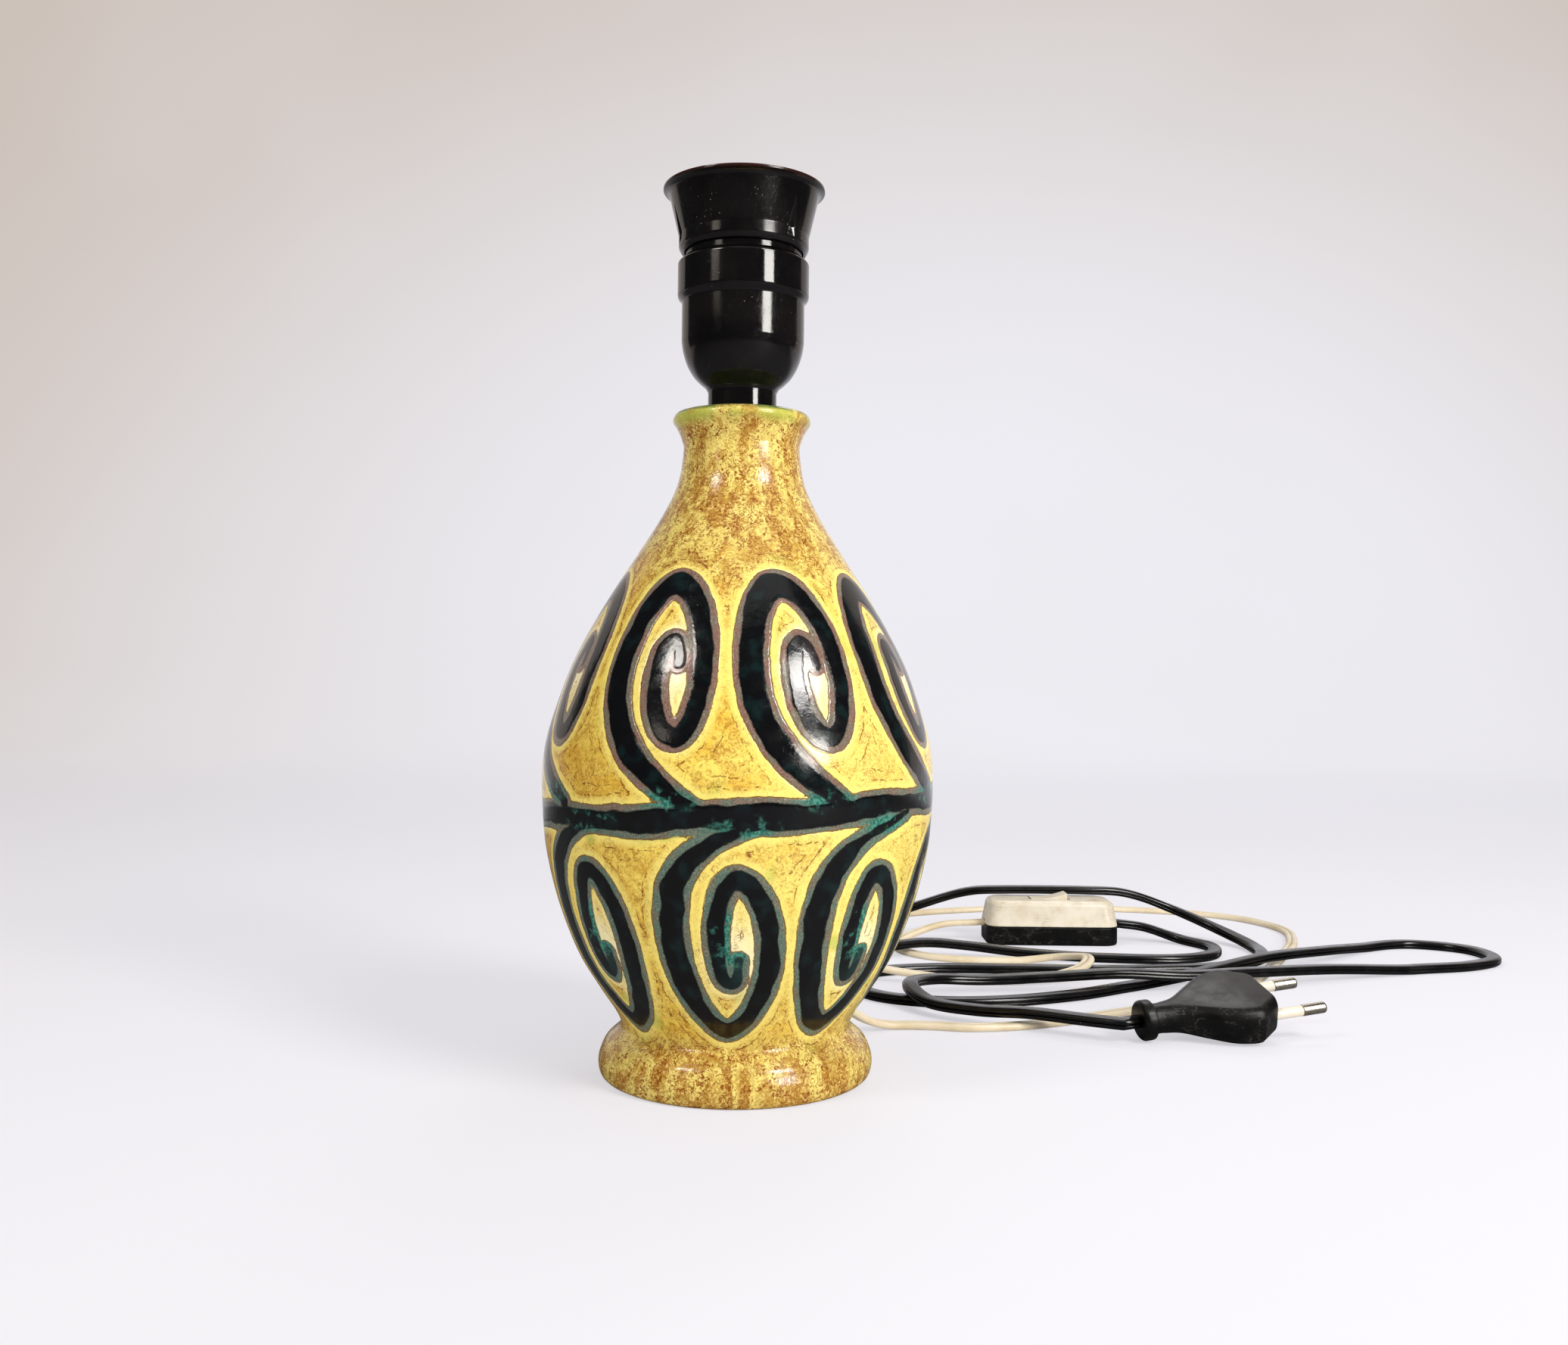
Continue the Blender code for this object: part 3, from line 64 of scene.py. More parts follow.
# Ceramic body, as in the frame
BODY_HEIGHT = 208.8 * MM
FOOT_EDGE_RADIUS = 41.0 * MM
FOOT_OPENING_RADIUS = 33.0 * MM
FOOT_RADIUS = 43.3 * MM
FOOT_BULGE_HEIGHT = 5.2 * MM
WAIST_RADIUS = 36.3 * MM
WAIST_HEIGHT = 16.5 * MM
BELLY_RADIUS = 61.7 * MM
BELLY_HEIGHT = 95.0 * MM
NECK_RADIUS = 18.5 * MM
NECK_HEIGHT = 197.0 * MM
RIM_RADIUS = 21.9 * MM
RIM_HEIGHT = 206.0 * MM
RIM_EDGE = 2.0 * MM
BODY_WALL = 6.0 * MM
TOP_WALL = 8.0 * MM
TUBE_HOLE = 5.3 * MM
BODY_GRID = 0.85 * MM
BODY_WAVE = 0.18 * MM
BODY_SHARP_ANGLE = math.radians(45)
BARE_EDGE = 0.4 * MM
foot_edge_shares = [(0.0, 0.0), (0.55, 0.16), (0.9, 0.5), (1.0, 1.0)]
foot_shares = [(0.08, 0.23), (0.33, 0.55), (0.8, 0.82), (1.0, 1.0)]
belly_shares = [(0.08, 0.06), (0.29, 0.16), (0.55, 0.3), (0.79, 0.5), (0.94, 0.7), (0.99, 0.86), (1.0, 1.0)]
shoulder_shares = [
    (0.025, 0.1), (0.115, 0.23), (0.235, 0.36), (0.44, 0.52), (0.665, 0.67), (0.855, 0.8), (0.962, 0.9),
    (1.0, 1.0),
]
rim_shares = [(0.15, 0.36), (0.46, 0.66), (0.82, 0.9), (1.0, 1.0)]

# Ornament: scrolls above and below a band. Places on the surface are in millimetres from a scroll's own
# centre, as (across, away from the band, half the width of the stroke), and its turns are where its stroke
# changes side. A scroll has a pale core, and teal pools at its root and in its middle
UPPER_CENTRE = 127.0 * MM
LOWER_CENTRE = 47.4 * MM
upper_degrees = (-68.5, -23.8, 19.4, 62.5, 108.3, 154.1, 199.9, 245.7)
lower_degrees = (-49.8, -3.6, 39.2, 82.0, 127.6, 173.3, 218.9, 264.6)
upper_stem = [(15.0, -40.0), (3.0, -33.5), (-12.9, -22.0), (-12.9, -1.0)]
lower_stem = [(17.0, -40.0), (3.0, -35.5), (-13.1, -32.0), (-13.1, -12.0)]
upper_turns = [
    (-12.9, -1.0, 3.1), (-1.0, 29.4, 3.6), (13.9, -3.0, 2.0), (8.2, -19.4, 2.3), (-0.2, -1.0, 2.1),
    (3.0, 9.6, 2.0), (6.4, 2.5, 1.0),
]
lower_turns = [
    (-13.4, -10.0, 3.1), (1.0, 28.6, 2.4), (14.4, -1.0, 2.2), (4.8, -22.8, 2.0), (-0.8, -4.0, 1.7),
    (3.0, 10.0, 1.5), (5.4, 2.0, 0.8),
]
upper_stem_halves = [(0.0, 1.0), (0.22, 1.9), (0.5, 2.9), (1.0, 3.1)]
lower_stem_halves = [(0.0, 0.5), (0.35, 0.9), (0.6, 2.2), (0.8, 3.0), (1.0, 3.1)]
# Powers of the quarter turns at a scroll's tip, across and up
point_powers = (0.96, 0.88)
round_powers = (1.0, 1.0)
SCROLL_REACH = 48.0
SCROLL_REACH_ANGLE = math.radians(42)
CORE_CENTRE = (4.5, 2.0)
CORE_HALVES = (11.0, 18.0)
POOL_CENTRE = (7.0, -37.2)
POOL_HALVES = (9.0, 3.2)
UPPER_DROP_CENTRE = (3.4, 1.0)
LOWER_DROP_CENTRE = (3.4, -4.6)
DROP_HALVES = (3.0, 4.5)
BAND_HEIGHT = 86.5 * MM
BAND_TILT = 3.0
BAND_HALF_WIDTH = 2.5
BLEND_WIDTH = 1.2

# Lampholder, as in the frame, heights measured from its seat on the body
GAP = 0.3 * MM
SEAT_Z = BODY_HEIGHT + GAP
CAP_NECK_RADIUS = 10.9 * MM
CAP_NECK_HEIGHT = 6.4 * MM
CAP_RADIUS = 19.5 * MM
CAP_BELL_TOP = 22.4 * MM
CAP_BAND_RADIUS = 20.9 * MM
CAP_BAND_BOTTOM = 36.6 * MM
CAP_BAND_STEP = 1.7 * MM
CAP_HEIGHT = 48.7 * MM
CAP_CHAMFER = 1.5 * MM
CAP_CHAMFER_WIDTH = 1.6 * MM
CAP_STEP = 0.6 * MM
CAP_FLOOR_HEIGHT = 12.4 * MM
CAP_FLOOR_RADIUS = 10.5 * MM
CAP_CAVITY_RADIUS = 15.0 * MM
CAP_CAVITY_RISE = 7.0 * MM
CORE_SEAT_HEIGHT = 30.9 * MM
CORE_POCKET_HEIGHT = 37.9 * MM
CORE_POCKET_RADIUS = 17.3 * MM
CAP_TOP_Z = SEAT_Z + CAP_HEIGHT
LOCK_HOLE_RADIUS = 1.9 * MM
LOCK_HOLE_HEIGHT = 3.2 * MM
MANTLE_Z = 247.0 * MM
MANTLE_RADIUS = 18.6 * MM
MANTLE_WALL = 2.2 * MM
MANTLE_TOP_Z = CAP_TOP_Z + 19.2 * MM
MANTLE_LIP_RADIUS = 14.6 * MM
MANTLE_LIP_THICKNESS = 1.8 * MM
MANTLE_PITCH = 2.5 * MM
MANTLE_GROOVE = 0.45 * MM
MANTLE_PLAIN = 0.9 * MM
WALL_STEP = 0.25 * MM
SLEEVE_Z = 247.0 * MM
SLEEVE_HEIGHT = 26.4 * MM
SLEEVE_RADIUS = 13.7 * MM
SLEEVE_WALL = 0.4 * MM
SLEEVE_WAVE = 0.9 * MM
SLEEVE_PITCH = 3.6 * MM
SLEEVE_PLAIN = 4.0 * MM
SLEEVE_STEP = 0.3 * MM
SLEEVE_FLANGE_RADIUS = 10.8 * MM
RING_Z = CAP_TOP_Z + 2.0 * MM
RING_HEIGHT = 20.5 * MM
RING_BOTTOM_RADIUS = 19.7 * MM
RING_FOOT_RADIUS = 20.7 * MM
RING_FOOT_CHAMFER = 1.4 * MM
RING_FOOT_HEIGHT = 5.2 * MM
RING_TOP_RADIUS = 23.7 * MM
RING_LIP_RADIUS = 25.7 * MM
RING_LIP_THICKNESS = 0.9 * MM
RING_LIP_HEIGHT = 2.5 * MM
RING_THREAD_HEIGHT = 7.2 * MM
RING_THREAD_RADIUS = 18.9 * MM
RING_WALL = 1.9 * MM
RING_SIDES = 720
RING_SHINE = 0.1
# Depth of the painted reddish-brown sheen along the ring's top edge
RING_SHEEN_DEPTH = 1.3 * MM
GRIP_COUNT = 3
GRIP_FIRST_ANGLE = math.radians(-43)
GRIP_ABOVE_FOOT = -1.8 * MM
GRIP_LENGTH = 11.6 * MM
GRIP_RADIUS = 1.85 * MM
GRIP_DEPTH = 1.3 * MM
GRIP_DEPTH_SHARE = 0.85
GRIP_LEAST = 0.01 * MM
GRIP_MARGIN = 0.2 * MM
HOLDER_SIDES = 192
SMALL_SIDES = 64
cap_bell_shares = [(0.1, 0.1), (0.3, 0.19), (0.55, 0.33), (0.78, 0.54), (0.93, 0.78), (1.0, 1.0)]
ring_flare_shares = [(0.12, 0.4), (0.42, 0.75), (1.0, 1.0)]

# Bushing of the lead
BUSHING_ANGLE = math.radians(50)
BUSHING_REACH = 36.1 * MM
BUSHING_FLANGE = 5.0 * MM
BUSHING_THICKNESS = 1.5 * MM
BUSHING_NECK = 3.9 * MM
BUSHING_BORE = 2.9 * MM
BUSHING_INSIDE = 7.0 * MM
BUSHING_OUT = np.array([math.cos(BUSHING_ANGLE), math.sin(BUSHING_ANGLE), 0.0])
BUSHING_PLACE = BUSHING_OUT * BUSHING_REACH + np.array([0, 0, WAIST_HEIGHT])
SPOT_FACE_RADIUS = 5.3 * MM
SPOT_FACE_LENGTH = 6.0 * MM
LEAD_HOLE_RADIUS = 4.2 * MM
LEAD_HOLE_OVERRUN = 4.0 * MM

# Flat leads
PALE_WIDTH = 5.2 * MM
PALE_THICKNESS = 2.6 * MM
BLACK_WIDTH = 6.2 * MM
BLACK_THICKNESS = 3.8 * MM
TABLE_CLEARANCE = 0.1 * MM
LEAD_STEP = 2.5 * MM
PALE_GROOVE = 0.35 * MM
BLACK_CORNER = 1.5 * MM
BLACK_GROOVE = 0.12 * MM

# In-line switch
SWITCH_PLACE = np.array([142.0 * MM, 230.0 * MM, 0.0])
SWITCH_LENGTH = 62.0 * MM
SWITCH_WIDTH = 27.0 * MM
SWITCH_CORNER = 6.0 * MM
SWITCH_WALL = 2.0 * MM
SWITCH_EDGE = 1.0 * MM
SWITCH_BOTTOM_HEIGHT = 8.5 * MM
SWITCH_TOP_Z = 20.5 * MM
SWITCH_DRAFT = 1.5 * MM
SWITCH_CROWN = 3.0 * MM
SWITCH_SEAM_Z = 8.65 * MM
SEAM_EDGE = 0.25 * MM
TRAY_SOFT_EDGE = 0.2 * MM
TRAY_CHAMFER_SHARE = 0.3
DRAFT_SHARE = 0.97
ENTRY_OVERRUN = 3.0 * MM
CASE_SCREW_X = 22.0 * MM
CASE_SCREW_Y = 7.0 * MM
SCREW_HEAD_HOLE_RADIUS = 2.7 * MM
SCREW_HEAD_HOLE_DEPTH = 2.4 * MM
SCREW_HOLE_RADIUS = 1.6 * MM
SCREW_HOLE_DEPTH = 6.0 * MM
LEAD_INSERTION = 4.0 * MM
ROCKER_LENGTH = 17.2 * MM
ROCKER_WIDTH = 9.0 * MM
ROCKER_DEPTH = 7.0 * MM
ROCKER_CLEARANCE = 1.0 * MM
ROCKER_DISH = 1.0 * MM
ROCKER_TAPER = 0.4 * MM
ROCKER_PIVOT_DEPTH = 4.1 * MM
ROCKER_TILT = math.radians(8)
ROCKER_DISH_POWER = 1.6
ROCKER_BORE_RADIUS = 1.3 * MM
ROCKER_SOFT_EDGE = 0.45 * MM
ROCKER_CHEEK_BELOW = 2.6 * MM
PIVOT_Z = 17.1 * MM

# Flat two-pin plug, along its own X from the cable end
PLUG_PLACE = np.array([139.0 * MM, 42.0 * MM, 7.1 * MM])
PLUG_YAW = math.radians(12)
PLUG_PITCH = math.radians(-6)
PLUG_ROLL = math.radians(15)
PLUG_TURN = np.array(Euler((PLUG_ROLL, PLUG_PITCH, PLUG_YAW)).to_matrix())
COLLAR_RADIUS = 7.0 * MM
COLLAR_LENGTH = 4.6 * MM
PLUG_NECK_RADIUS = 5.2 * MM
PLUG_LENGTH = 47.0 * MM
PLUG_HALF_WIDTH = 17.2 * MM
PLUG_HALF_THICKNESS = 6.85 * MM
PLUG_FRONT_HALF_WIDTH = 11.0 * MM
PLUG_CORNER = 4.2 * MM
PLUG_FRONT_EDGE = 0.9 * MM
PLUG_STEP = 0.8 * MM
PLUG_SHARP_ANGLE = math.radians(40)
PIN_SPACING = 18.6 * MM
PIN_RADIUS = 2.0 * MM
PIN_CORE_RADIUS = 1.3 * MM
PIN_LENGTH = 19.0 * MM
PIN_TIP_LENGTH = 9.0 * MM
PIN_DEPTH = 5.0 * MM
PIN_SIDES = 48
PIN_AXIS_HOLE = 0.02 * MM
PIN_SLEEVE_CLEARANCE = 0.05 * MM
plug_width_shares = [(0.16, 0.0), (0.3, 0.12), (0.46, 0.5), (0.62, 0.86), (0.76, 1.0), (0.82, 1.0)]

# Rounded edges of the collar: millimetres along it from its end, and millimetres in from its side
collar_rear_edge = ((0, 1.2), (0.15, 0.6), (0.7, 0.1), (1.2, 0))
collar_front_edge = ((1.2, 0), (0.6, 0.1), (0.1, 0.7), (0, 1.3))

# Routes of the free leads, the same points as in the CAD source, in millimetres
PALE_ROUTE = np.array([
    (31.5, 37.5, 15), (38.5, 45, 9), (46, 52, 3.6), (55, 56, 1.4), (68, 56, 1.4), (84, 54, 1.4),
    (108, 60, 1.4), (138, 77, 1.4), (170, 96, 1.4), (197, 119, 1.4), (217, 148, 1.4), (236, 183, 1.4),
    (256, 223, 1.4), (264, 260, 1.4), (250, 293, 1.4), (216, 312, 1.4), (172, 318, 1.4), (125, 313, 1.4),
    (80, 295, 1.4), (43, 264, 1.4), (18, 226, 1.4), (8, 185, 1.4), (19, 153, 4), (43, 138, 6.6),
    (67, 133, 4), (93, 132, 1.4), (117, 132, 2.2), (137, 139, 5), (145, 156, 6.6), (136, 171, 4),
    (118, 174.5, 1.4), (98, 175, 1.4), (80, 182, 1.4), (69, 196, 1.4), (68, 213, 1.8), (78, 226, 4),
    (92, 230, 7.5),
]) * MM
BLACK_ROUTE = np.array([
    (188, 229.5, 7), (203, 224.5, 2.6), (213, 208, 2), (207, 188, 2), (186, 178, 2), (154, 180, 2),
    (122, 185, 3), (98, 188, 5.2), (78, 189, 6.2), (56, 189, 3.6), (38, 200, 2), (36, 220, 3), (50, 237, 6),
    (76, 242, 13), (102, 239, 21.5), (122, 238.3, 23.1), (162, 238.3, 23.1), (182, 240, 21.5),
    (204, 241, 14), (224, 229, 6), (233, 206, 2), (226, 180, 2), (203, 162, 2), (172, 155, 2),
    (140, 153, 2), (108, 154, 2), (78, 153, 2), (53, 144, 2), (43, 123, 2), (51, 101, 2), (72, 91, 2),
    (100, 93, 2), (130, 105, 2), (157, 123, 2), (190, 143, 3.6), (224, 164, 6), (258, 188, 4.6),
    (286, 211, 2), (310, 220, 2), (332, 208, 2), (333, 185, 2), (315, 170, 2), (285, 161, 2),
    (245, 147, 4.6), (206, 131, 6.2), (178, 122.5, 6.4), (150, 119.5, 7.6), (122, 119, 6), (96, 119, 4.6),
    (75, 113, 6), (64, 95, 7.6), (70, 77, 5), (86, 65, 5), (103, 55.5, 6.4), (120, 47, 6.4),
]) * MM

# Floor and backdrop, in metres: one sheet, with a painted pool of light at a spot behind the lamp and painted
# shade, a darker beige, away from it
SWEEP_NEAR = -2.6
SWEEP_BEND = 1.6
SWEEP_RADIUS = 0.9
SWEEP_HEIGHT = 5.0
SWEEP_HALF_WIDTH = 4.0
PAINTED_LIGHT_X = 0.45
PAINTED_LIGHT_Z = 0.3
PAINTED_LIGHT_HALF_WIDTH = 1.3
PAINTED_LIGHT_HALF_HEIGHT = 0.8
PAPER_PATCH = 0.6

# Soft boxes: degrees to the right of the camera's side and degrees above the table, then distance, width and
# height in metres, power in watts and colour
LIGHT_AIM = (0.05, 0.05, 0.13)
light_boxes = {
    "right_box": (44, 39, 1.3, 0.38, 0.3, 9.5, (255, 252, 248)),
    "right_strip": (43, 15.5, 1.3, 0.36, 0.34, 7, (255, 252, 246)),
    "left_box": (-50, 41, 1.4, 0.3, 0.26, 5, (255, 250, 242)),
    "left_strip": (-48, 21.6, 1.4, 0.3, 0.14, 0.3, (255, 246, 230)),
    "overhead": (20, 78, 1.5, 1.2, 1.0, 2.2, (255, 254, 252)),
    "back_box": (165, 50, 1.6, 0.6, 0.5, 4, (255, 254, 252)),
}


# Shapes

def link(name, mesh, finish, sharp=SHARP_ANGLE):
    """Put a mesh in the scene, smooth but for its sharp edges."""
    made = bpy.data.objects.new(name, mesh)
    bpy.context.scene.collection.objects.link(made)
    mesh.shade_smooth()
    if sharp:
        mesh.set_sharp_from_angle(angle=sharp)
    mesh.materials.append(finish)
    return made


def grid_mesh(name, points, wrap_rows=False, cap=False):
    """A mesh from rows of closed loops of points: the last point of a row joins its first."""
    rows, columns, _ = points.shape
    low = np.arange(rows * columns).reshape(rows, columns)
    high = np.roll(low, -1, axis=0)
    faces = np.stack([low, np.roll(low, -1, axis=1), np.roll(high, -1, axis=1), high], axis=-1)
    if not wrap_rows:
        faces = faces[:-1]
    faces = faces.reshape(-1, 4).tolist()
    if cap:
        faces += [low[0][::-1].tolist(), low[-1].tolist()]
    mesh = bpy.data.meshes.new(name)
    mesh.from_pydata(points.reshape(-1, 3).tolist(), [], faces)
    mesh.update()
    return mesh


def face_outwards(mesh):
    shape = bmesh.new()
    shape.from_mesh(mesh)
    bmesh.ops.recalc_face_normals(shape, faces=shape.faces)
    shape.to_mesh(mesh)
    shape.free()
    return mesh


def station_curve(start, end, shares):
    """Points between two, at the given shares of the way across and of the way up."""
    wide = end[0] - start[0]
    tall = end[1] - start[1]
    return [(start[0] + across * wide, start[1] + up * tall) for across, up in shares]


def walked_along(line):
    """How far along a line each of its points lies."""
    return np.concatenate([[0], np.cumsum(np.linalg.norm(np.diff(line, axis=0), axis=1))])


def smooth_curve(points, spacing):
    """Points at even steps along one smooth curve through the given points."""
    given = np.array(points, float)
    ends = np.vstack([2 * given[0] - given[1], given, 2 * given[-1] - given[-2]])
    fine = []
    for before, start, end, after in zip(ends, ends[1:], ends[2:], ends[3:]):
        steps = max(6, round(float(np.linalg.norm(end - start)) / spacing * 12))
        part = np.arange(steps)[:, None] / steps
        fine.append(
            0.5 * (
                2 * start + (end - before) * part + (2 * before - 5 * start + 4 * end - after) * part ** 2
                + (3 * start - before - 3 * end + after) * part ** 3
            )
        )
    line = np.vstack([*fine, given[-1:]])
    walked = walked_along(line)
    wanted = np.linspace(0, walked[-1], max(2, round(walked[-1] / spacing)) + 1)
    return np.stack([np.interp(wanted, walked, line[:, axis]) for axis in range(line.shape[1])], axis=1)


def rounded_outline(corners, steps=5):
    """A closed outline whose corners, given as (radius, height, rounding in millimetres), are rounded."""
    places = [np.array(corner[:2]) for corner in corners]
    outline = []
    for before, place, after, corner in zip(places[-1:] + places, places, places[1:] + places[:1], corners):
        if corner[2] == 0:
            outline.append(place)
            continue
        reach = corner[2] * MM
        for side in (before - place, after - place):
            reach = min(reach, np.linalg.norm(side) / SIDE_PARTS)
        start = place + (before - place) / np.linalg.norm(before - place) * reach
        end = place + (after - place) / np.linalg.norm(after - place) * reach
        for step in range(steps + 1):
            part = step / steps
            outline.append(start * (1 - part) ** 2 + 2 * place * part * (1 - part) + end * part ** 2)
    return np.array(outline)


def turned_points(outline, sides):
    angles = np.linspace(0, 2 * math.pi, sides, endpoint=False)
    radius = outline[:, :1]
    height = np.repeat(outline[:, 1:2], sides, axis=1)
    return np.stack([radius * np.sin(angles), -radius * np.cos(angles), height], axis=-1)


def turned(name, outline, finish, sides=HOLDER_SIDES, place=lambda points: points):
    """Turn a closed outline about Z. place moves its points to where they belong."""
    mesh = grid_mesh(name, place(turned_points(outline, sides)), wrap_rows=True)
    piece = link(name, face_outwards(mesh), finish)
    piece.modifiers.new("face_normals", "WEIGHTED_NORMAL").keep_sharp = True
    return piece


def quarter_arc(steps, first=0):
    """Places on a quarter of a circle, as (cosine, sine), from a step of it on."""
    angles = [math.pi / 2 * step / steps for step in range(first, steps + 1)]
    return [(math.cos(angle), math.sin(angle)) for angle in angles]


def rounded_rectangle(half_length, half_width, corner, steps=8):
    points = []
    for quarter in range(4):
        along = half_length - corner if quarter in (0, 3) else corner - half_length
        across = half_width - corner if quarter in (0, 1) else corner - half_width
        for step in range(steps + 1):
            angle = math.pi / 2 * (quarter + step / steps)
            points.append((along + corner * math.cos(angle), across + corner * math.sin(angle)))
    return np.array(points)


def lofted(name, loops, finish, place=lambda points: points):
    """A closed solid through loops of points. place moves them to where they belong."""
    return link(name, face_outwards(grid_mesh(name, place(np.array(loops)), cap=True)), finish)


def cut(piece, cutter):
    """Cut a shape out of a piece, and remove the cutter."""
    step = piece.modifiers.new("cut", "BOOLEAN")
    step.operation = "DIFFERENCE"
    step.solver = "EXACT"
    step.object = cutter
    bpy.context.view_layer.update()
    shape = piece.evaluated_get(bpy.context.evaluated_depsgraph_get())
    mesh = bpy.data.meshes.new_from_object(shape)
    piece.modifiers.remove(step)
    old = (piece.data, cutter.data)
    piece.data = mesh
    bpy.data.objects.remove(cutter)
    for unused in old:
        bpy.data.meshes.remove(unused)


def soften(piece, width, segments=2):
    step = piece.modifiers.new("edges", "BEVEL")
    step.width = width
    step.segments = segments
    step.limit_method = "ANGLE"
    step.angle_limit = SOFTEN_ANGLE
    step.harden_normals = True


def cutter_block(low, high, finish):
    (x0, y0, z0), (x1, y1, z1) = low, high
    loops = [[(x0, y0, z), (x1, y0, z), (x1, y1, z), (x0, y1, z)] for z in (z0, z1)]
    return lofted("cutter", loops, finish)


def turn_to(direction):
    """The matrix that turns Z to a direction."""
    return np.array(Vector(direction).to_track_quat("Z", "Y").to_matrix())


def cutter_rod(start, direction, radius, length, finish):
    points = turned_points(np.array([(radius, 0.0), (radius, length)]), ROD_SIDES)
    points = points @ turn_to(direction).T + np.array(start)
    return link("cutter", face_outwards(grid_mesh("cutter", points, cap=True)), finish)


# Materials

def colour(red, green, blue):
    """A colour from its 8-bit sRGB values."""
    def linear(value):
        share = value / 255
        return share / 12.92 if share <= 0.04045 else ((share + 0.055) / 1.055) ** 2.4
    return (linear(red), linear(green), linear(blue), 1.0)


class Value:
    """An output of a tree of nodes, which adds, multiplies and steps as a number does."""

    def __init__(self, made, socket):
        self.made = made
        self.socket = socket

    def __add__(self, other):
        return self.made.maths("ADD", self, other)

    def __sub__(self, other):
        return self.made.maths("SUBTRACT", self, other)

    def __rsub__(self, other):
        return self.made.maths("SUBTRACT", other, self)

    def __mul__(self, other):
        return self.made.maths("MULTIPLY", self, other)

    def larger(self, other):
        return self.made.maths("MAXIMUM", self, other)

    def sine(self):
        return self.made.maths("SINE", self)

    def step(self, low, high, start=0.0, end=1.0):
        """A smooth step: start below low, end above high."""
        inputs = {"Value": self, "From Min": low, "From Max": high, "To Min": start, "To Max": end}
        return self.made.value("MapRange", "Result", inputs, interpolation_type="SMOOTHSTEP")

    def ridge(self, centre, inner, outer):
        """One near a value, zero away from it."""
        return self.made.maths("ABSOLUTE", self - centre).step(inner, outer, 1.0, 0.0)


class Nodes:
    """A tree of nodes, made step by step."""

    def __init__(self, tree):
        self.nodes = tree.nodes
        self.links = tree.links

    def set(self, socket, value):
        if isinstance(value, Value):
            self.links.new(value.socket, socket)
        else:
            socket.default_value = value

    def value(self, kind, output, inputs=None, **settings):
        """An output of a new node that has these settings and inputs."""
        node = self.nodes.new("ShaderNode" + kind)
        for name, setting in settings.items():
            setattr(node, name, setting)
        for name, given in (inputs or {}).items():
            self.set(node.inputs[name], given)
        return Value(self, node.outputs[output])

    def maths(self, operation, first, second=0.0):
        return self.value("Math", 0, {0: first, 1: second}, operation=operation)

    def ray(self, kind):
        return self.value("LightPath", f"Is {kind} Ray")

    def surface(self, output, share, first, second):
        """Mix two shaders and give the mix to the tree's output."""
        both = self.value("MixShader", 0, {0: share, 1: first, 2: second})
        self.set(self.nodes[output].inputs["Surface"], both)


class Finish(Nodes):
    """A material. Lengths in it are metres, and colours are 8-bit sRGB. base is its colour so far."""

    def __init__(self, name):
        self.material = bpy.data.materials.new(name)
        self.material.use_nodes = True
        super().__init__(self.material.node_tree)
        self.shader = self.nodes["Principled BSDF"]
        self.place = self.value("TexCoord", "Object")
        self.base = None

    def attribute(self, name):
        return self.value("Attribute", "Fac", attribute_name=name)

    def axis(self, name):
        return self.value("SeparateXYZ", name, {0: self.place})

    def noise(self, size, detail=2.0, roughness=0.5, distortion=0.0, stretch=None):
        """Noise of a size, with each axis scaled by its own number in stretch."""
        place = self.place
        if stretch:
            place = self.value("VectorMath", 0, {0: place, 1: stretch}, operation="MULTIPLY")
        inputs = {"Scale": 1 / size, "Detail": detail, "Roughness": roughness, "Distortion": distortion}
        return self.value("TexNoise", "Fac", {"Vector": place, **inputs})

    def mix(self, share, *pair):
        first, second = (colour(*one) if isinstance(one, tuple) else one for one in pair)
        return self.value("Mix", "Result", {"Factor": share, "A": first, "B": second}, data_type="RGBA")

    def two_tone(self, size, first, second):
        """Start the base as broad patches of two colours, and return where they are."""
        broad = self.noise(size, detail=4, roughness=0.6)
        self.base = self.mix(broad.step(0.36, 0.7), first, second)
        return broad

    def paint(self, share, tint):
        """Lay a colour over the base."""
        self.base = self.mix(share, self.base, tint)

    def specks(self, size, near, far, where, share, tint):
        """Paint specks, and return where they are."""
        cells = self.value("TexVoronoi", "Distance", {"Vector": self.place, "Scale": 1 / size})
        speck = cells.step(near, far, 1.0, 0.0) * where
        self.paint(speck * share, tint)
        return speck

    def finish(self, rough, relief=None, depth=0.0, strength=1.0, **inputs):
        self.set(self.shader.inputs["Base Color"], self.base)
        self.set(self.shader.inputs["Roughness"], rough)
        if relief is not None:
            bump = self.value("Bump", "Normal", {"Height": relief, "Strength": strength, "Distance": depth})
            self.set(self.shader.inputs["Normal"], bump)
        for name, given in inputs.items():
            self.set(self.shader.inputs[name], given)
        return self.material


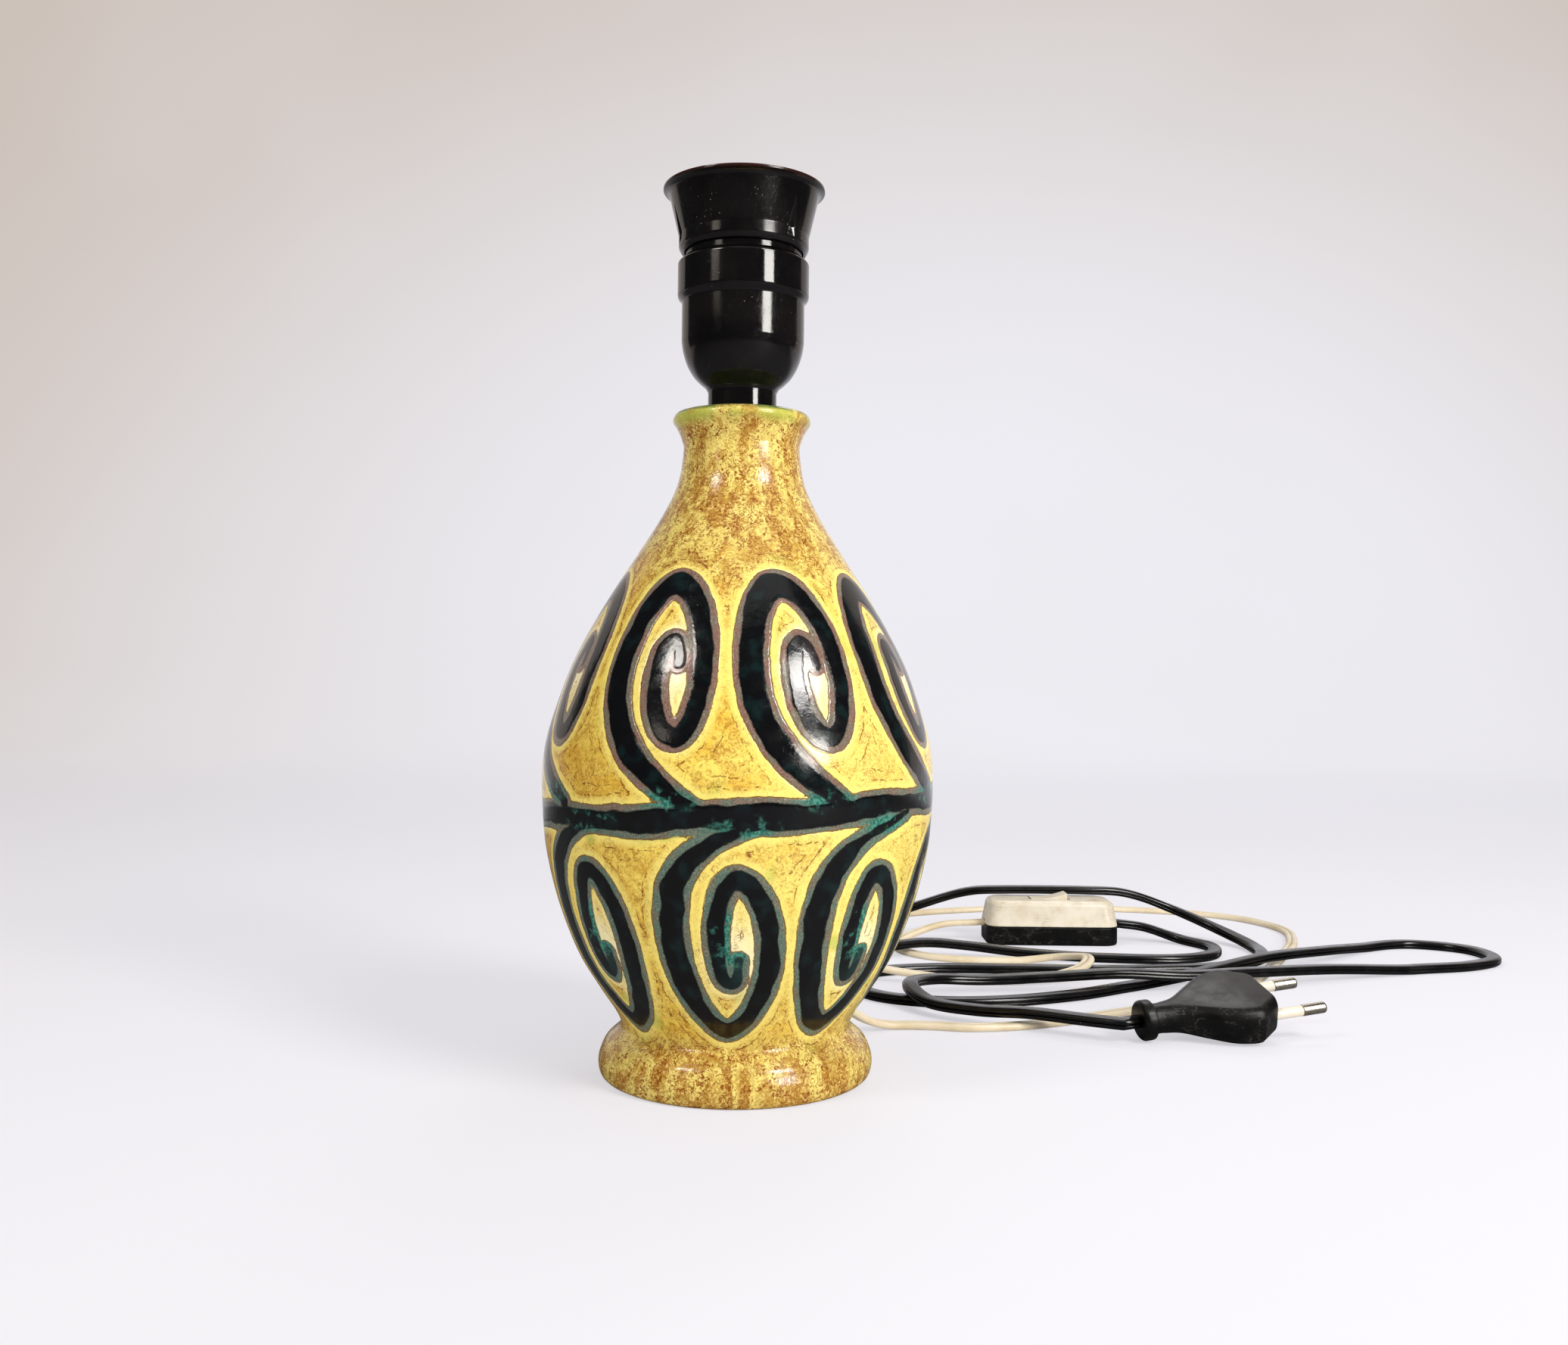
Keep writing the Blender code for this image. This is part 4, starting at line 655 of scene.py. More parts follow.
def glaze():
    """Amber glaze with a black scroll ornament: the vertices say how deep in the black each place lies."""
    made = Finish("ornamented_glaze")
    height = made.axis("Z")
    root = made.attribute("root")
    bare = made.attribute("bare")
    waver = made.noise(5.5 * MM, detail=3)
    fine = made.noise(0.9 * MM, detail=3)
    edge = made.attribute("ink") + (waver * 1.1 + fine * 0.5) - 0.5
    broad = made.noise(15 * MM, detail=4, roughness=0.6, distortion=0.6)
    mottle = made.noise(4 * MM, detail=5, roughness=0.7, distortion=1.4)
    streaks = made.noise(6 * MM, detail=4, distortion=0.9, stretch=(1.0, 1.0, 0.3))
    neck = (height + broad * (26 * MM)).step(152 * MM, 184 * MM)
    foot = (height + broad * (8 * MM)).step(17 * MM, 27 * MM, 1.0, 0.0)
    brown = neck.larger(foot)
    core = made.attribute("core")
    near = edge.step(-5.2, -2.6).larger(core)

    made.base = made.mix(broad.step(0.38, 0.64), (226, 186, 64), (240, 216, 98))
    made.paint(mottle.step(0.4, 0.66) * 0.6, (204, 150, 50))
    # Painted light and shade: the glaze is painted paler towards the right side, where the main lights stand,
    # and darker amber towards the left, the shaded side
    side = made.axis("X") + broad * (40 * MM)
    made.paint(side.step(0.0, 60 * MM, 0.0, 0.5), (242, 224, 128))
    made.paint(side.step(10 * MM, -35 * MM, 0.0, 0.4), (194, 138, 44))
    made.paint(brown * 0.85, made.mix(streaks.step(0.4, 0.6), (220, 200, 108), (168, 122, 46)))
    made.paint(near * 0.85, made.mix(core, (242, 224, 120), (246, 240, 190)))

    worm = made.noise(1.7 * MM, detail=2, roughness=0.6, distortion=2.4)
    amount = (brown * 0.5 + 0.48) * (1.0 - near * 0.74)
    network = worm.step(0.5, 0.56) * mottle.step(0.38, 0.58, 0.25, 1.0) * amount
    made.paint(network, (132, 72, 20))
    made.paint(worm.step(0.44, 0.36) * (brown * 0.35 + 0.2), (246, 222, 140))
    contour = made.noise(2.6 * MM, detail=3, roughness=0.6, distortion=1.4)
    made.paint(contour.ridge(0.5, 0.006, 0.022) * streaks.step(0.5, 0.62) * 0.6, (118, 48, 16))
    wave = ((edge + broad * 5.0) * 2.1).sine()
    flow = wave.step(0.86, 0.97) * contour.step(0.4, 0.52)
    away = edge.step(-3.1, -2.6, 1.0, 0.0) * edge.step(-12.0, -7.0)
    made.paint(flow * away * streaks.step(0.42, 0.54) * 0.85, (120, 58, 20))

    rim = height.step(RIM_HEIGHT - 3.5 * MM, RIM_HEIGHT) * broad.step(0.36, 0.56)
    made.paint(rim * 0.85, (176, 182, 78))
    crest = height.step(BODY_HEIGHT - 1.6 * MM, BODY_HEIGHT - 0.6 * MM) * broad.step(0.42, 0.52, 0.35, 1.0)
    crest = crest.larger(height.step(BODY_HEIGHT - 0.5 * MM, BODY_HEIGHT - 0.1 * MM))
    made.paint(crest * 0.88, made.mix(mottle.step(0.4, 0.6), (40, 72, 46), (96, 104, 46)))
    moss = made.noise(21 * MM, detail=2).step(0.6, 0.68) * edge.step(-9.0, -3.0)
    made.paint(moss * 0.5, (150, 172, 62))

    upper = (height + broad * (30 * MM)).step(92 * MM, 118 * MM)
    grain = made.noise(0.5 * MM, detail=2)
    green = made.mix(waver.step(0.4, 0.64), (88, 110, 96), (110, 106, 88))
    brownish = made.mix(waver.step(0.38, 0.62), (110, 104, 90), (128, 96, 84))
    border = made.mix(upper, green, brownish)
    border = made.mix(grain.step(0.52, 0.74) * 0.5, border, (162, 154, 134))
    border = made.mix(grain.step(0.5, 0.3) * 0.5, border, (60, 54, 50))
    teal = made.mix(fine.step(0.42, 0.62), (34, 92, 80), (74, 138, 120))
    border = made.mix(root * mottle.step(0.28, 0.42), border, teal)
    line = edge.ridge(-1.95, 0.08, 0.34) * broad.step(0.3, 0.44, 0.45, 1.0)
    made.paint(line * 0.9, (84, 36, 20))
    made.paint(edge.step(-1.9, -1.7), border)

    shade = made.mix(waver.step(0.5, 0.72), (9, 10, 12), (14, 30, 30))
    faded = made.mix(upper, (26, 48, 46), (48, 43, 43))
    shade = made.mix(made.attribute("fade") * mottle.step(0.3, 0.5, 0.5, 1.0), shade, faded)
    shade = made.mix(root * made.noise(3.2 * MM, detail=2).step(0.5, 0.66) * 0.7, shade, teal)
    inner = edge + (made.noise(11 * MM, detail=1) - 0.5) * 2.4
    made.paint(inner.step(-0.5, 0.1), shade)
    made.specks(1.9 * MM, 0.03, 0.075, mottle.step(0.52, 0.6), 0.6, (70, 40, 20))
    made.paint(bare, made.mix(mottle.step(0.35, 0.65), (206, 176, 138), (182, 148, 110)))

    rough = made.noise(4 * MM, detail=3).step(0.3, 0.7, 0.09, 0.18) + bare * 0.5
    relief = edge.step(-0.6, 0.6) * 0.5 + edge.ridge(-1.95, 0.1, 0.5) * -0.6
    relief = relief + made.noise(2.2 * MM, detail=2) * 0.35 + network * -0.22
    return made.finish(rough, relief, 0.14 * MM, 0.8)


def black_moulding(name, shine=0.07, brown_sheen_from=None):
    """Glossy black moulded plastic with a little dust and handling on it. Given a height, a painted
    reddish-brown sheen lies on it from there up.
    """
    made = Finish(name)
    broad = made.noise(11 * MM, detail=3)
    made.base = made.mix(broad.step(0.35, 0.7), (8, 7, 7), (16, 14, 13))
    if brown_sheen_from is not None:
        # Painted sheen: a reddish-brown glint painted on the top edge, from the given height up
        made.paint(made.axis("Z").step(brown_sheen_from, brown_sheen_from + 0.9 * MM) * 0.7, (54, 24, 18))
    dust = made.specks(1.7 * MM, 0.045, 0.085, broad.step(0.5, 0.62), 0.7, (186, 182, 176))
    hair = made.noise(2.4 * MM, detail=2, stretch=(1.0, 1.0, 0.12)).ridge(0.5, 0.002, 0.01)
    wear = made.noise(0.8 * MM, detail=4, roughness=0.7).step(0.5, 0.66) * broad.step(0.4, 0.6, 0.4, 1.0)
    rough = broad.step(0.3, 0.75, shine, shine + 0.08) + dust * 0.5 + hair * 0.1 + wear * 0.09
    return made.finish(rough, made.noise(0.5 * MM, detail=3), 0.014 * MM, 0.7, IOR=1.54)


def metal(name, tint, dull, rough_from=0.2, rough_to=0.36, streak=(1.0, 1.0, 1.0)):
    made = Finish(name)
    broad = made.noise(4 * MM, detail=4, roughness=0.6)
    brushed = made.noise(0.5 * MM, detail=3, stretch=streak)
    made.base = made.mix(broad.step(0.36, 0.68), tint, dull)
    rough = broad.step(0.3, 0.7, rough_from, rough_to) + brushed * 0.08
    return made.finish(rough, brushed, 0.02 * MM, 0.5, Metallic=1.0)


def porcelain():
    made = Finish("insulator_porcelain")
    fine = made.noise(0.7 * MM, detail=2)
    made.base = made.mix(made.noise(6 * MM, detail=4).step(0.4, 0.7), (236, 232, 220), (214, 206, 188))
    return made.finish(fine.step(0.3, 0.7, 0.22, 0.36), fine, 0.02 * MM, 0.6)


def cream_moulding(name):
    """Aged cream plastic, a little greyer where it was handled, with small scuffs."""
    made = Finish(name)
    broad = made.two_tone(9 * MM, (226, 218, 200), (212, 200, 176))
    scratch = made.noise(3 * MM, detail=3, distortion=0.4, stretch=(0.25, 1.0, 1.4))
    scuff = scratch.ridge(0.52, 0.003, 0.014) * broad.step(0.5, 0.64)
    made.paint(scuff * 0.6, (150, 136, 112))
    made.specks(2.3 * MM, 0.03, 0.07, broad.step(0.52, 0.6), 0.7, (96, 82, 66))
    relief = made.noise(0.6 * MM, detail=3) * 0.5 + scuff * -0.6
    return made.finish(made.noise(5 * MM, detail=3).step(0.3, 0.7, 0.28, 0.44), relief, 0.03 * MM, 0.7)


def pale_sheath():
    """Ivory plastic of a flat twin lead, fine ribs along it and a darker line along its groove."""
    made = Finish("ivory_lead")
    across = made.attribute("across")
    broad = made.two_tone(16 * MM, (232, 219, 190), (216, 198, 162))
    # A darker line along the groove between the cores
    made.paint(across.ridge(0.0, 0.12, 0.55) * 0.75, (166, 138, 98))
    ribs = (across * 13.0).sine()
    made.paint(ribs.step(0.5, 1.0) * 0.22, (176, 152, 112))
    made.specks(2.8 * MM, 0.03, 0.06, broad.step(0.48, 0.6), 0.6, (120, 98, 70))
    relief = ribs * 0.35 + made.noise(0.9 * MM, detail=3) * 0.3
    return made.finish(broad.step(0.3, 0.7, 0.3, 0.42), relief, 0.06 * MM, 0.7)


def black_sheath():
    made = Finish("black_lead_sheath")
    broad = made.two_tone(14 * MM, (9, 9, 10), (19, 18, 18))
    made.specks(2.4 * MM, 0.03, 0.065, broad.step(0.5, 0.6), 0.7, (170, 164, 156))
    line = made.attribute("across").ridge(0.0, 0.05, 0.3)
    made.paint(line * 0.4, (44, 42, 42))
    relief = made.noise(0.8 * MM, detail=3) * 0.3 + line * -0.6
    return made.finish(made.noise(7 * MM, detail=3).step(0.3, 0.7, 0.16, 0.28), relief, 0.05 * MM, 0.6)


def satin_moulding(name):
    """Satin black plastic of the plug and the switch's lower shell, dusty and scuffed."""
    made = Finish(name)
    broad = made.two_tone(8 * MM, (7, 7, 7), (16, 15, 14))
    scratch = made.noise(3.5 * MM, detail=4, distortion=0.5, stretch=(0.5, 1.4, 1.0))
    scuff = scratch.ridge(0.5, 0.003, 0.016) * broad.step(0.42, 0.6)
    made.paint(scuff * 0.35, (96, 92, 88))
    made.specks(1.3 * MM, 0.04, 0.09, broad.step(0.44, 0.56), 0.5, (150, 146, 140))
    rough = broad.step(0.3, 0.7, 0.3, 0.42) + scuff * 0.15
    relief = made.noise(0.35 * MM, detail=3) + scuff * -0.5
    return made.finish(rough, relief, 0.03 * MM, 0.7, IOR=1.36)


# Camera

def camera():
    data = bpy.data.cameras.new("camera")
    data.lens = CAMERA_LENS
    data.sensor_width = CAMERA_SENSOR
    data.clip_start = CAMERA_NEAR
    data.clip_end = CAMERA_FAR
    made = bpy.data.objects.new("camera", data)
    bpy.context.scene.collection.objects.link(made)
    made.location = CAMERA_PLACE
    made.rotation_euler = Euler((math.pi / 2, CAMERA_ROLL, 0))
    bpy.context.scene.camera = made


# Leads

def plug_points(points):
    return points @ PLUG_TURN.T + PLUG_PLACE


def lead_line(ends, route, width, thickness):
    """The line of a free lead: straight for its own width at each end, smooth through its route between."""
    (start, leave), (end, back) = ends
    line = smooth_curve([start + leave * width, *route, end + back * width], LEAD_STEP)
    line[:, 2] = np.maximum(line[:, 2], thickness / 2 + TABLE_CLEARANCE)
    return np.vstack([start, line, end])


def twin_section(width, thickness, groove):
    """The outline of two joined round cores, with a groove between them above and below."""
    core = thickness / 2
    centre = width / 2 - core
    spread = 0.22 * core + MM / 5
    upper = [(centre + core * across, core * up) for across, up in quarter_arc(9)]
    for step in range(1, 12):
        across = centre * (1 - step / 12)
        upper.append((across, core - groove * math.exp(-((across / spread) ** 2))))
    upper.append((0.0, core - groove))
    above = upper + [(-across, up) for across, up in reversed(upper[:-1])]
    return np.array(above + [(across, -up) for across, up in reversed(above[1:-1])])


def block_section(width, thickness, corner, groove):
    """The outline of a flat lead: a rounded block, with the points of a shallow fold at each narrow side."""
    outline = rounded_rectangle(width / 2, thickness / 2, corner, steps=6)
    half = len(outline) // 2
    fold = [(width / 12, 0), (width / 40, groove), (-width / 40, groove), (-width / 12, 0)]
    folds = [[(up * across, up * (thickness / 2 - depth)) for across, depth in fold] for up in (1, -1)]
    return np.vstack([outline[:half], folds[0], outline[half:], folds[1]])


def swept(name, line, section, finish):
    """A flat lead along a line, its width level."""
    ahead = np.gradient(line, axis=0)
    ahead /= np.linalg.norm(ahead, axis=1)[:, None]
    side = np.cross(ahead, [0, 0, 1.0])
    side /= np.linalg.norm(side, axis=1)[:, None]
    up = np.cross(side, ahead)
    points = line[:, None] + section[None, :, :1] * side[:, None] + section[None, :, 1:] * up[:, None]
    mesh = face_outwards(grid_mesh(name, points, cap=True))
    across = mesh.attributes.new("across", "FLOAT", "POINT")
    across.data.foreach_set("value", np.tile(section[:, 0] / MM, len(line)).astype(np.float32))
    return link(name, mesh, finish, sharp=None)


def leads():
    seam = SWITCH_PLACE + np.array([0, 0, SWITCH_SEAM_Z])
    inset = ALONG * (SWITCH_LENGTH / 2 - LEAD_INSERTION)
    nose = PLUG_TURN @ ALONG
    bushing = (BUSHING_PLACE + BUSHING_OUT * (BUSHING_THICKNESS + GAP), BUSHING_OUT)
    collar = (PLUG_PLACE - nose * GAP, -nose)
    pale = lead_line((bushing, (seam - inset, -ALONG)), PALE_ROUTE, PALE_WIDTH, PALE_THICKNESS)
    black = lead_line(((seam + inset, ALONG), collar), BLACK_ROUTE, BLACK_WIDTH, BLACK_THICKNESS)
    twin = twin_section(PALE_WIDTH, PALE_THICKNESS, PALE_GROOVE)
    block = block_section(BLACK_WIDTH, BLACK_THICKNESS, BLACK_CORNER, BLACK_GROOVE)
    made = {}
    for name, node, line, section, finish in (
        ("ivory_twin_lead", "pale_lead", pale, twin, pale_sheath()),
        ("black_flat_lead", "black_lead", black, block, black_sheath()),
    ):
        piece = swept(name, line, section, finish)
        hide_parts(node)
        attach(piece, "lamp")
        made[node] = (piece, line, float(walked_along(line)[-1]))
    return made


# Ceramic body

def body_profile():
    """The outer line of the body, from its foot to the top of its rim."""
    stations = (
        (FOOT_EDGE_RADIUS, 0), (FOOT_RADIUS, FOOT_BULGE_HEIGHT), (WAIST_RADIUS, WAIST_HEIGHT),
        (BELLY_RADIUS, BELLY_HEIGHT), (NECK_RADIUS, NECK_HEIGHT), (RIM_RADIUS, RIM_HEIGHT),
    )
    outer = []
    for start, end, shares in zip(
        stations, stations[1:], (foot_edge_shares, foot_shares, belly_shares, shoulder_shares, rim_shares)
    ):
        outer += station_curve(start, end, shares)
    for across, up in quarter_arc(3, 1):
        outer.append((RIM_RADIUS - RIM_EDGE * (1 - across), RIM_HEIGHT + (BODY_HEIGHT - RIM_HEIGHT) * up))
    line = smooth_curve(outer, BODY_GRID)
    line[:, 0] = np.minimum(line[:, 0], BELLY_RADIUS)
    line[:, 1] = np.clip(line[:, 1], 0, BODY_HEIGHT)
    return line


def body_points(profile):
    """Points of the hollow body, whose outside is a little uneven, as thrown ware is."""
    waist = np.argmin(abs(profile[:, 1] - WAIST_HEIGHT))
    inside = profile[waist:][::4] - np.array([BODY_WALL, 0])
    under = BODY_HEIGHT - TOP_WALL
    inside = inside[inside[:, 1] < under - BODY_WALL / 2][::-1]
    flat = [(radius, BODY_HEIGHT) for radius in np.linspace(profile[-1, 0], TUBE_HOLE, 8)[1:]]
    closing = [(TUBE_HOLE, under), (inside[0, 0] - MM, under), (inside[0, 0], under - MM)]
    foot = [(FOOT_OPENING_RADIUS, MM), (FOOT_OPENING_RADIUS + MM / 2, 0)]
    foot += [(radius, 0) for radius in np.linspace(FOOT_OPENING_RADIUS + MM, FOOT_EDGE_RADIUS, 8)[:-1]]
    outline = np.vstack([profile, flat, closing, inside, foot])
    sides = round(2 * math.pi * BELLY_RADIUS / BODY_GRID / 8) * 8
    points = turned_points(outline, sides)
    angles = np.linspace(0, 2 * math.pi, sides, endpoint=False)
    rise = outline[:, 1:2] / BODY_HEIGHT
    wave = np.sin(2 * angles + 5.1 * rise + 0.6) + 0.6 * np.sin(3 * angles - 7.3 * rise)
    wave = (wave + 0.4 * np.sin(11.0 * rise)) / 2
    fade = np.clip(np.minimum(rise, 1 - rise) * 12, 0, 1)
    pull = 1 - BODY_WAVE / BELLY_RADIUS * (0.5 + 0.5 * wave) * fade
    points[..., :2] *= pull[..., None]
    return points


def quarter_turn(start, end, powers):
    """From a place where the stroke runs along the lamp to one where it runs round it."""
    part = np.linspace(0, math.pi / 2, 16)
    across = (1 - np.cos(part)) ** powers[0]
    up = 1 - (1 - np.sin(part)) ** powers[1]
    half = part / part[-1]
    done = np.stack([across, up, half], axis=1)
    return np.array(start) + done * (np.array(end) - np.array(start))


def curl_line(stem, stem_halves, turns, tip_powers):
    """The centre line of one scroll with its stem, and half its width at each point, in millimetres."""
    line = []
    stations, halves = zip(*stem_halves)
    for part in np.linspace(0, 1, 26)[:-1]:
        left = 1 - part
        weights = np.array([left ** 3, 3 * part * left ** 2, 3 * part ** 2 * left, part ** 3])
        line.append((*(weights @ np.array(stem)), float(np.interp(part, stations, halves))))
    for count, (start, end) in enumerate(zip(turns, turns[1:])):
        powers = tip_powers if count < 2 else round_powers
        if count % 2 == 0:
            line += quarter_turn(start, end, powers)[:-1].tolist()
        else:
            line += quarter_turn(end, start, powers)[::-1][:-1].tolist()
    line.append(turns[-1])
    return np.array(line)


def depth_in_stroke(across, up, line):
    """How deep each place lies in a stroke, in millimetres, and how far along it, from 0 to 1."""
    deepest = np.full(across.shape, -50.0)
    where = np.zeros(across.shape)
    for index, (start, end) in enumerate(zip(line, line[1:])):
        step = end[:2] - start[:2]
        right = across - start[0]
        above = up - start[1]
        part = np.clip((right * step[0] + above * step[1]) / float(step @ step), 0, 1)
        away = np.hypot(right - part * step[0], above - part * step[1])
        depth = start[2] + part * (end[2] - start[2]) - away
        better = depth > deepest
        deepest[better] = depth[better]
        where[better] = ((index + part) / (len(line) - 1))[better]
    return deepest, where


def blended(first, second, width=BLEND_WIDTH):
    share = np.clip(0.5 + 0.5 * (first - second) / width, 0, 1)
    return second + (first - second) * share + width * share * (1 - share) / 2


def from_oval(across, up, centre, halves):
    """How far each place is from the centre of an oval, in parts of its half width and half height."""
    return np.hypot((across - centre[0]) / halves[0], (up - centre[1]) / halves[1])


def paint_body(mesh, profile):
    """Write the ornament on the vertices, worked out from where each of them is."""
    count = len(mesh.vertices)
    places = np.zeros(count * 3)
    mesh.vertices.foreach_get("co", places)
    places = places.reshape(-1, 3)
    radius = np.hypot(places[:, 0], places[:, 1])
    height = places[:, 2]
    turn = np.arctan2(places[:, 0], -places[:, 1])
    walked = walked_along(profile) / MM
    climb = np.interp(height, profile[:, 1], walked)
    outer = np.interp(height, profile[:, 1], profile[:, 0])
    outside = (radius > outer - 2 * MM) | (height > BODY_HEIGHT - MM / 2)
    outside &= height > BARE_EDGE
    ink = np.full(count, -20.0)
    core = np.zeros(count)
    root = np.zeros(count)
    fade = np.zeros(count)
    upper = curl_line(upper_stem, upper_stem_halves, upper_turns, round_powers)
    lower = curl_line(lower_stem, lower_stem_halves, lower_turns, point_powers)
    for degrees, centre, upright, drop_centre, line in (
        (upper_degrees, UPPER_CENTRE, 1, UPPER_DROP_CENTRE, upper),
        (lower_degrees, LOWER_CENTRE, -1, LOWER_DROP_CENTRE, lower),
    ):
        up = (climb - float(np.interp(centre, profile[:, 1], walked))) * upright
        around = float(np.interp(centre, profile[:, 1], profile[:, 0])) / MM
        for number, degree in enumerate(degrees):
            away = (turn - math.radians(degree) + math.pi) % (2 * math.pi) - math.pi
            near = outside & (abs(up) < SCROLL_REACH) & (abs(away) < SCROLL_REACH_ANGLE)
            own = 0.5 * math.sin(number * 12.9898 + upright)
            narrowing = 0.45 + 0.55 * radius[near] / MM / around
            rise = up[near] * (1 + 0.02 * own)
            across = away[near] * around * narrowing * (1 + 0.03 * own) + 0.5 * own + 0.02 * own * rise
            depth, along = depth_in_stroke(across, rise, line)
            joined = blended(depth, ink[near])
            ink[near] = np.where(depth > -14, joined, np.maximum(ink[near], depth))
            fade[near] = np.where(depth > -1, np.clip((along - 0.78) * 5, 0, 1), fade[near])
            oval = from_oval(across, rise, CORE_CENTRE, CORE_HALVES)
            core[near] = np.maximum(core[near], np.clip(1.6 - 1.5 * oval, 0, 1))
            pool = from_oval(across, rise, POOL_CENTRE, POOL_HALVES)
            drop = from_oval(across, rise, drop_centre, DROP_HALVES) + upright
            root[near] = np.maximum(root[near], np.clip(1.8 - 1.4 * np.minimum(pool, drop), 0, 1))
    middle = BAND_HEIGHT / MM + BAND_TILT * np.sin(turn) + 0.5 * np.sin(7 * turn + 2.0)
    half = BAND_HALF_WIDTH + 0.5 * np.sin(turn * 3 + 1.2) + 0.3 * np.sin(11 * turn)
    band = half - abs(height / MM - middle)
    ink = np.where(outside, blended(band, ink), -20.0)
    written = (("ink", ink), ("core", core), ("root", root), ("fade", fade), ("bare", 1.0 - outside))
    for name, values in written:
        made = mesh.attributes.new(name, "FLOAT", "POINT")
        made.data.foreach_set("value", values.astype(np.float32))


def ceramic_body():
    finish = glaze()
    profile = body_profile()
    mesh = grid_mesh("glazed_body", body_points(profile), wrap_rows=True)
    body = link("glazed_body", face_outwards(mesh), finish)
    start = BUSHING_PLACE - BUSHING_OUT * (BODY_WALL + LEAD_HOLE_OVERRUN)
    cut(body, cutter_rod(start, BUSHING_OUT, LEAD_HOLE_RADIUS, BODY_WALL + 2 * LEAD_HOLE_OVERRUN, finish))
    seat = BUSHING_PLACE - BUSHING_OUT * GAP
    cut(body, cutter_rod(seat, BUSHING_OUT, SPOT_FACE_RADIUS, SPOT_FACE_LENGTH, finish))
    paint_body(body.data, profile)
    body.data.shade_smooth()
    body.data.set_sharp_from_angle(angle=BODY_SHARP_ANGLE)
    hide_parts("ceramic_body")
    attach(body, "lamp")


def cord_bushing(finish):
    outline = rounded_outline([
        (BUSHING_BORE, -BUSHING_INSIDE, 0.3), (BUSHING_NECK, -BUSHING_INSIDE, 0.3),
        (BUSHING_NECK, 0, 0), (BUSHING_FLANGE, 0, 0.2),
        (BUSHING_FLANGE, BUSHING_THICKNESS, 0.6), (BUSHING_BORE, BUSHING_THICKNESS, 0.5),
    ])
    turn = turn_to(BUSHING_OUT)
    piece = turned("grommet", outline, finish, SMALL_SIDES, lambda points: points @ turn.T + BUSHING_PLACE)
    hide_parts("cord_bushing")
    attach(piece, "lamp")


# Lampholder

def holder_cap(finish):
    neck = (CAP_NECK_RADIUS, CAP_NECK_HEIGHT)
    bell = (CAP_RADIUS, CAP_BELL_TOP)
    curve = smooth_curve([neck, *station_curve(neck, bell, cap_bell_shares)], CAP_STEP)
    outer = [(CAP_NECK_RADIUS, 0, 0.4), (CAP_NECK_RADIUS, CAP_NECK_HEIGHT, 0)]
    outer += [(radius, height, 0) for radius, height in curve[1:]]
    outer += [
        (CAP_RADIUS, CAP_BAND_BOTTOM - CAP_BAND_STEP, 0.5), (CAP_BAND_RADIUS, CAP_BAND_BOTTOM, 0.8),
        (CAP_BAND_RADIUS, CAP_HEIGHT - CAP_CHAMFER, 0.5),
        (CAP_BAND_RADIUS - CAP_CHAMFER_WIDTH, CAP_HEIGHT, 0.35), (MANTLE_RADIUS + GAP, CAP_HEIGHT, 0.1),
        (MANTLE_RADIUS + GAP, CORE_POCKET_HEIGHT, 0), (CORE_POCKET_RADIUS, CORE_POCKET_HEIGHT, 0),
        (CORE_POCKET_RADIUS, CORE_SEAT_HEIGHT, 0),
        (CAP_CAVITY_RADIUS, CORE_SEAT_HEIGHT, 0), (CAP_CAVITY_RADIUS, CAP_FLOOR_HEIGHT + CAP_CAVITY_RISE, 0),
        (CAP_FLOOR_RADIUS, CAP_FLOOR_HEIGHT, 0), (TUBE_HOLE, CAP_FLOOR_HEIGHT, 0), (TUBE_HOLE, 0, 0),
    ]
    outline = rounded_outline(outer) + np.array([0, SEAT_Z])
    cap = turned("holder_cup", outline, finish)
    place = (0, TUBE_HOLE - GAP, SEAT_Z + LOCK_HOLE_HEIGHT)
    cut(cap, cutter_rod(place, (0, 1, 0), LOCK_HOLE_RADIUS, CAP_NECK_RADIUS, finish))
    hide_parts("holder_cap")
    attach(cap, "lamp")


def threaded_wall(points, pitch, depth, lowest, highest):
    """Pull a round wall inwards in a helical groove between two heights."""
    turn = np.arctan2(points[..., 1], points[..., 0])
    height = points[..., 2]
    wave = 0.5 + 0.5 * np.cos(2 * math.pi * height / pitch - turn)
    fade = np.clip((height - lowest) / pitch * 3, 0, 1) * np.clip((highest - height) / pitch * 3, 0, 1)
    radius = np.hypot(points[..., 0], points[..., 1])
    points[..., :2] *= (1 - depth * wave * fade / radius)[..., None]
    return points


def holder_mantle(finish):
    bore = MANTLE_RADIUS - MANTLE_WALL
    lip = MANTLE_TOP_Z - MANTLE_LIP_THICKNESS
    heights = np.arange(MANTLE_Z, MANTLE_TOP_Z - MANTLE_PLAIN, WALL_STEP)
    wall = [(MANTLE_RADIUS, height, 0) for height in heights]
    outline = rounded_outline([
        *wall, (MANTLE_RADIUS, MANTLE_TOP_Z, 0.7), (MANTLE_LIP_RADIUS, MANTLE_TOP_Z, 0.6),
        (MANTLE_LIP_RADIUS, lip, 0.4), (bore, lip, 0.3), (bore, MANTLE_Z, 0),
    ])

    def thread(points):
        outside = points[:len(wall)]
        threaded_wall(outside, MANTLE_PITCH, MANTLE_GROOVE, RING_Z + MM, MANTLE_TOP_Z - MM)
        return points

    piece = turned("threaded_mantle", outline, finish, place=thread)
    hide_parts("holder_mantle")
    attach(piece, "lamp")


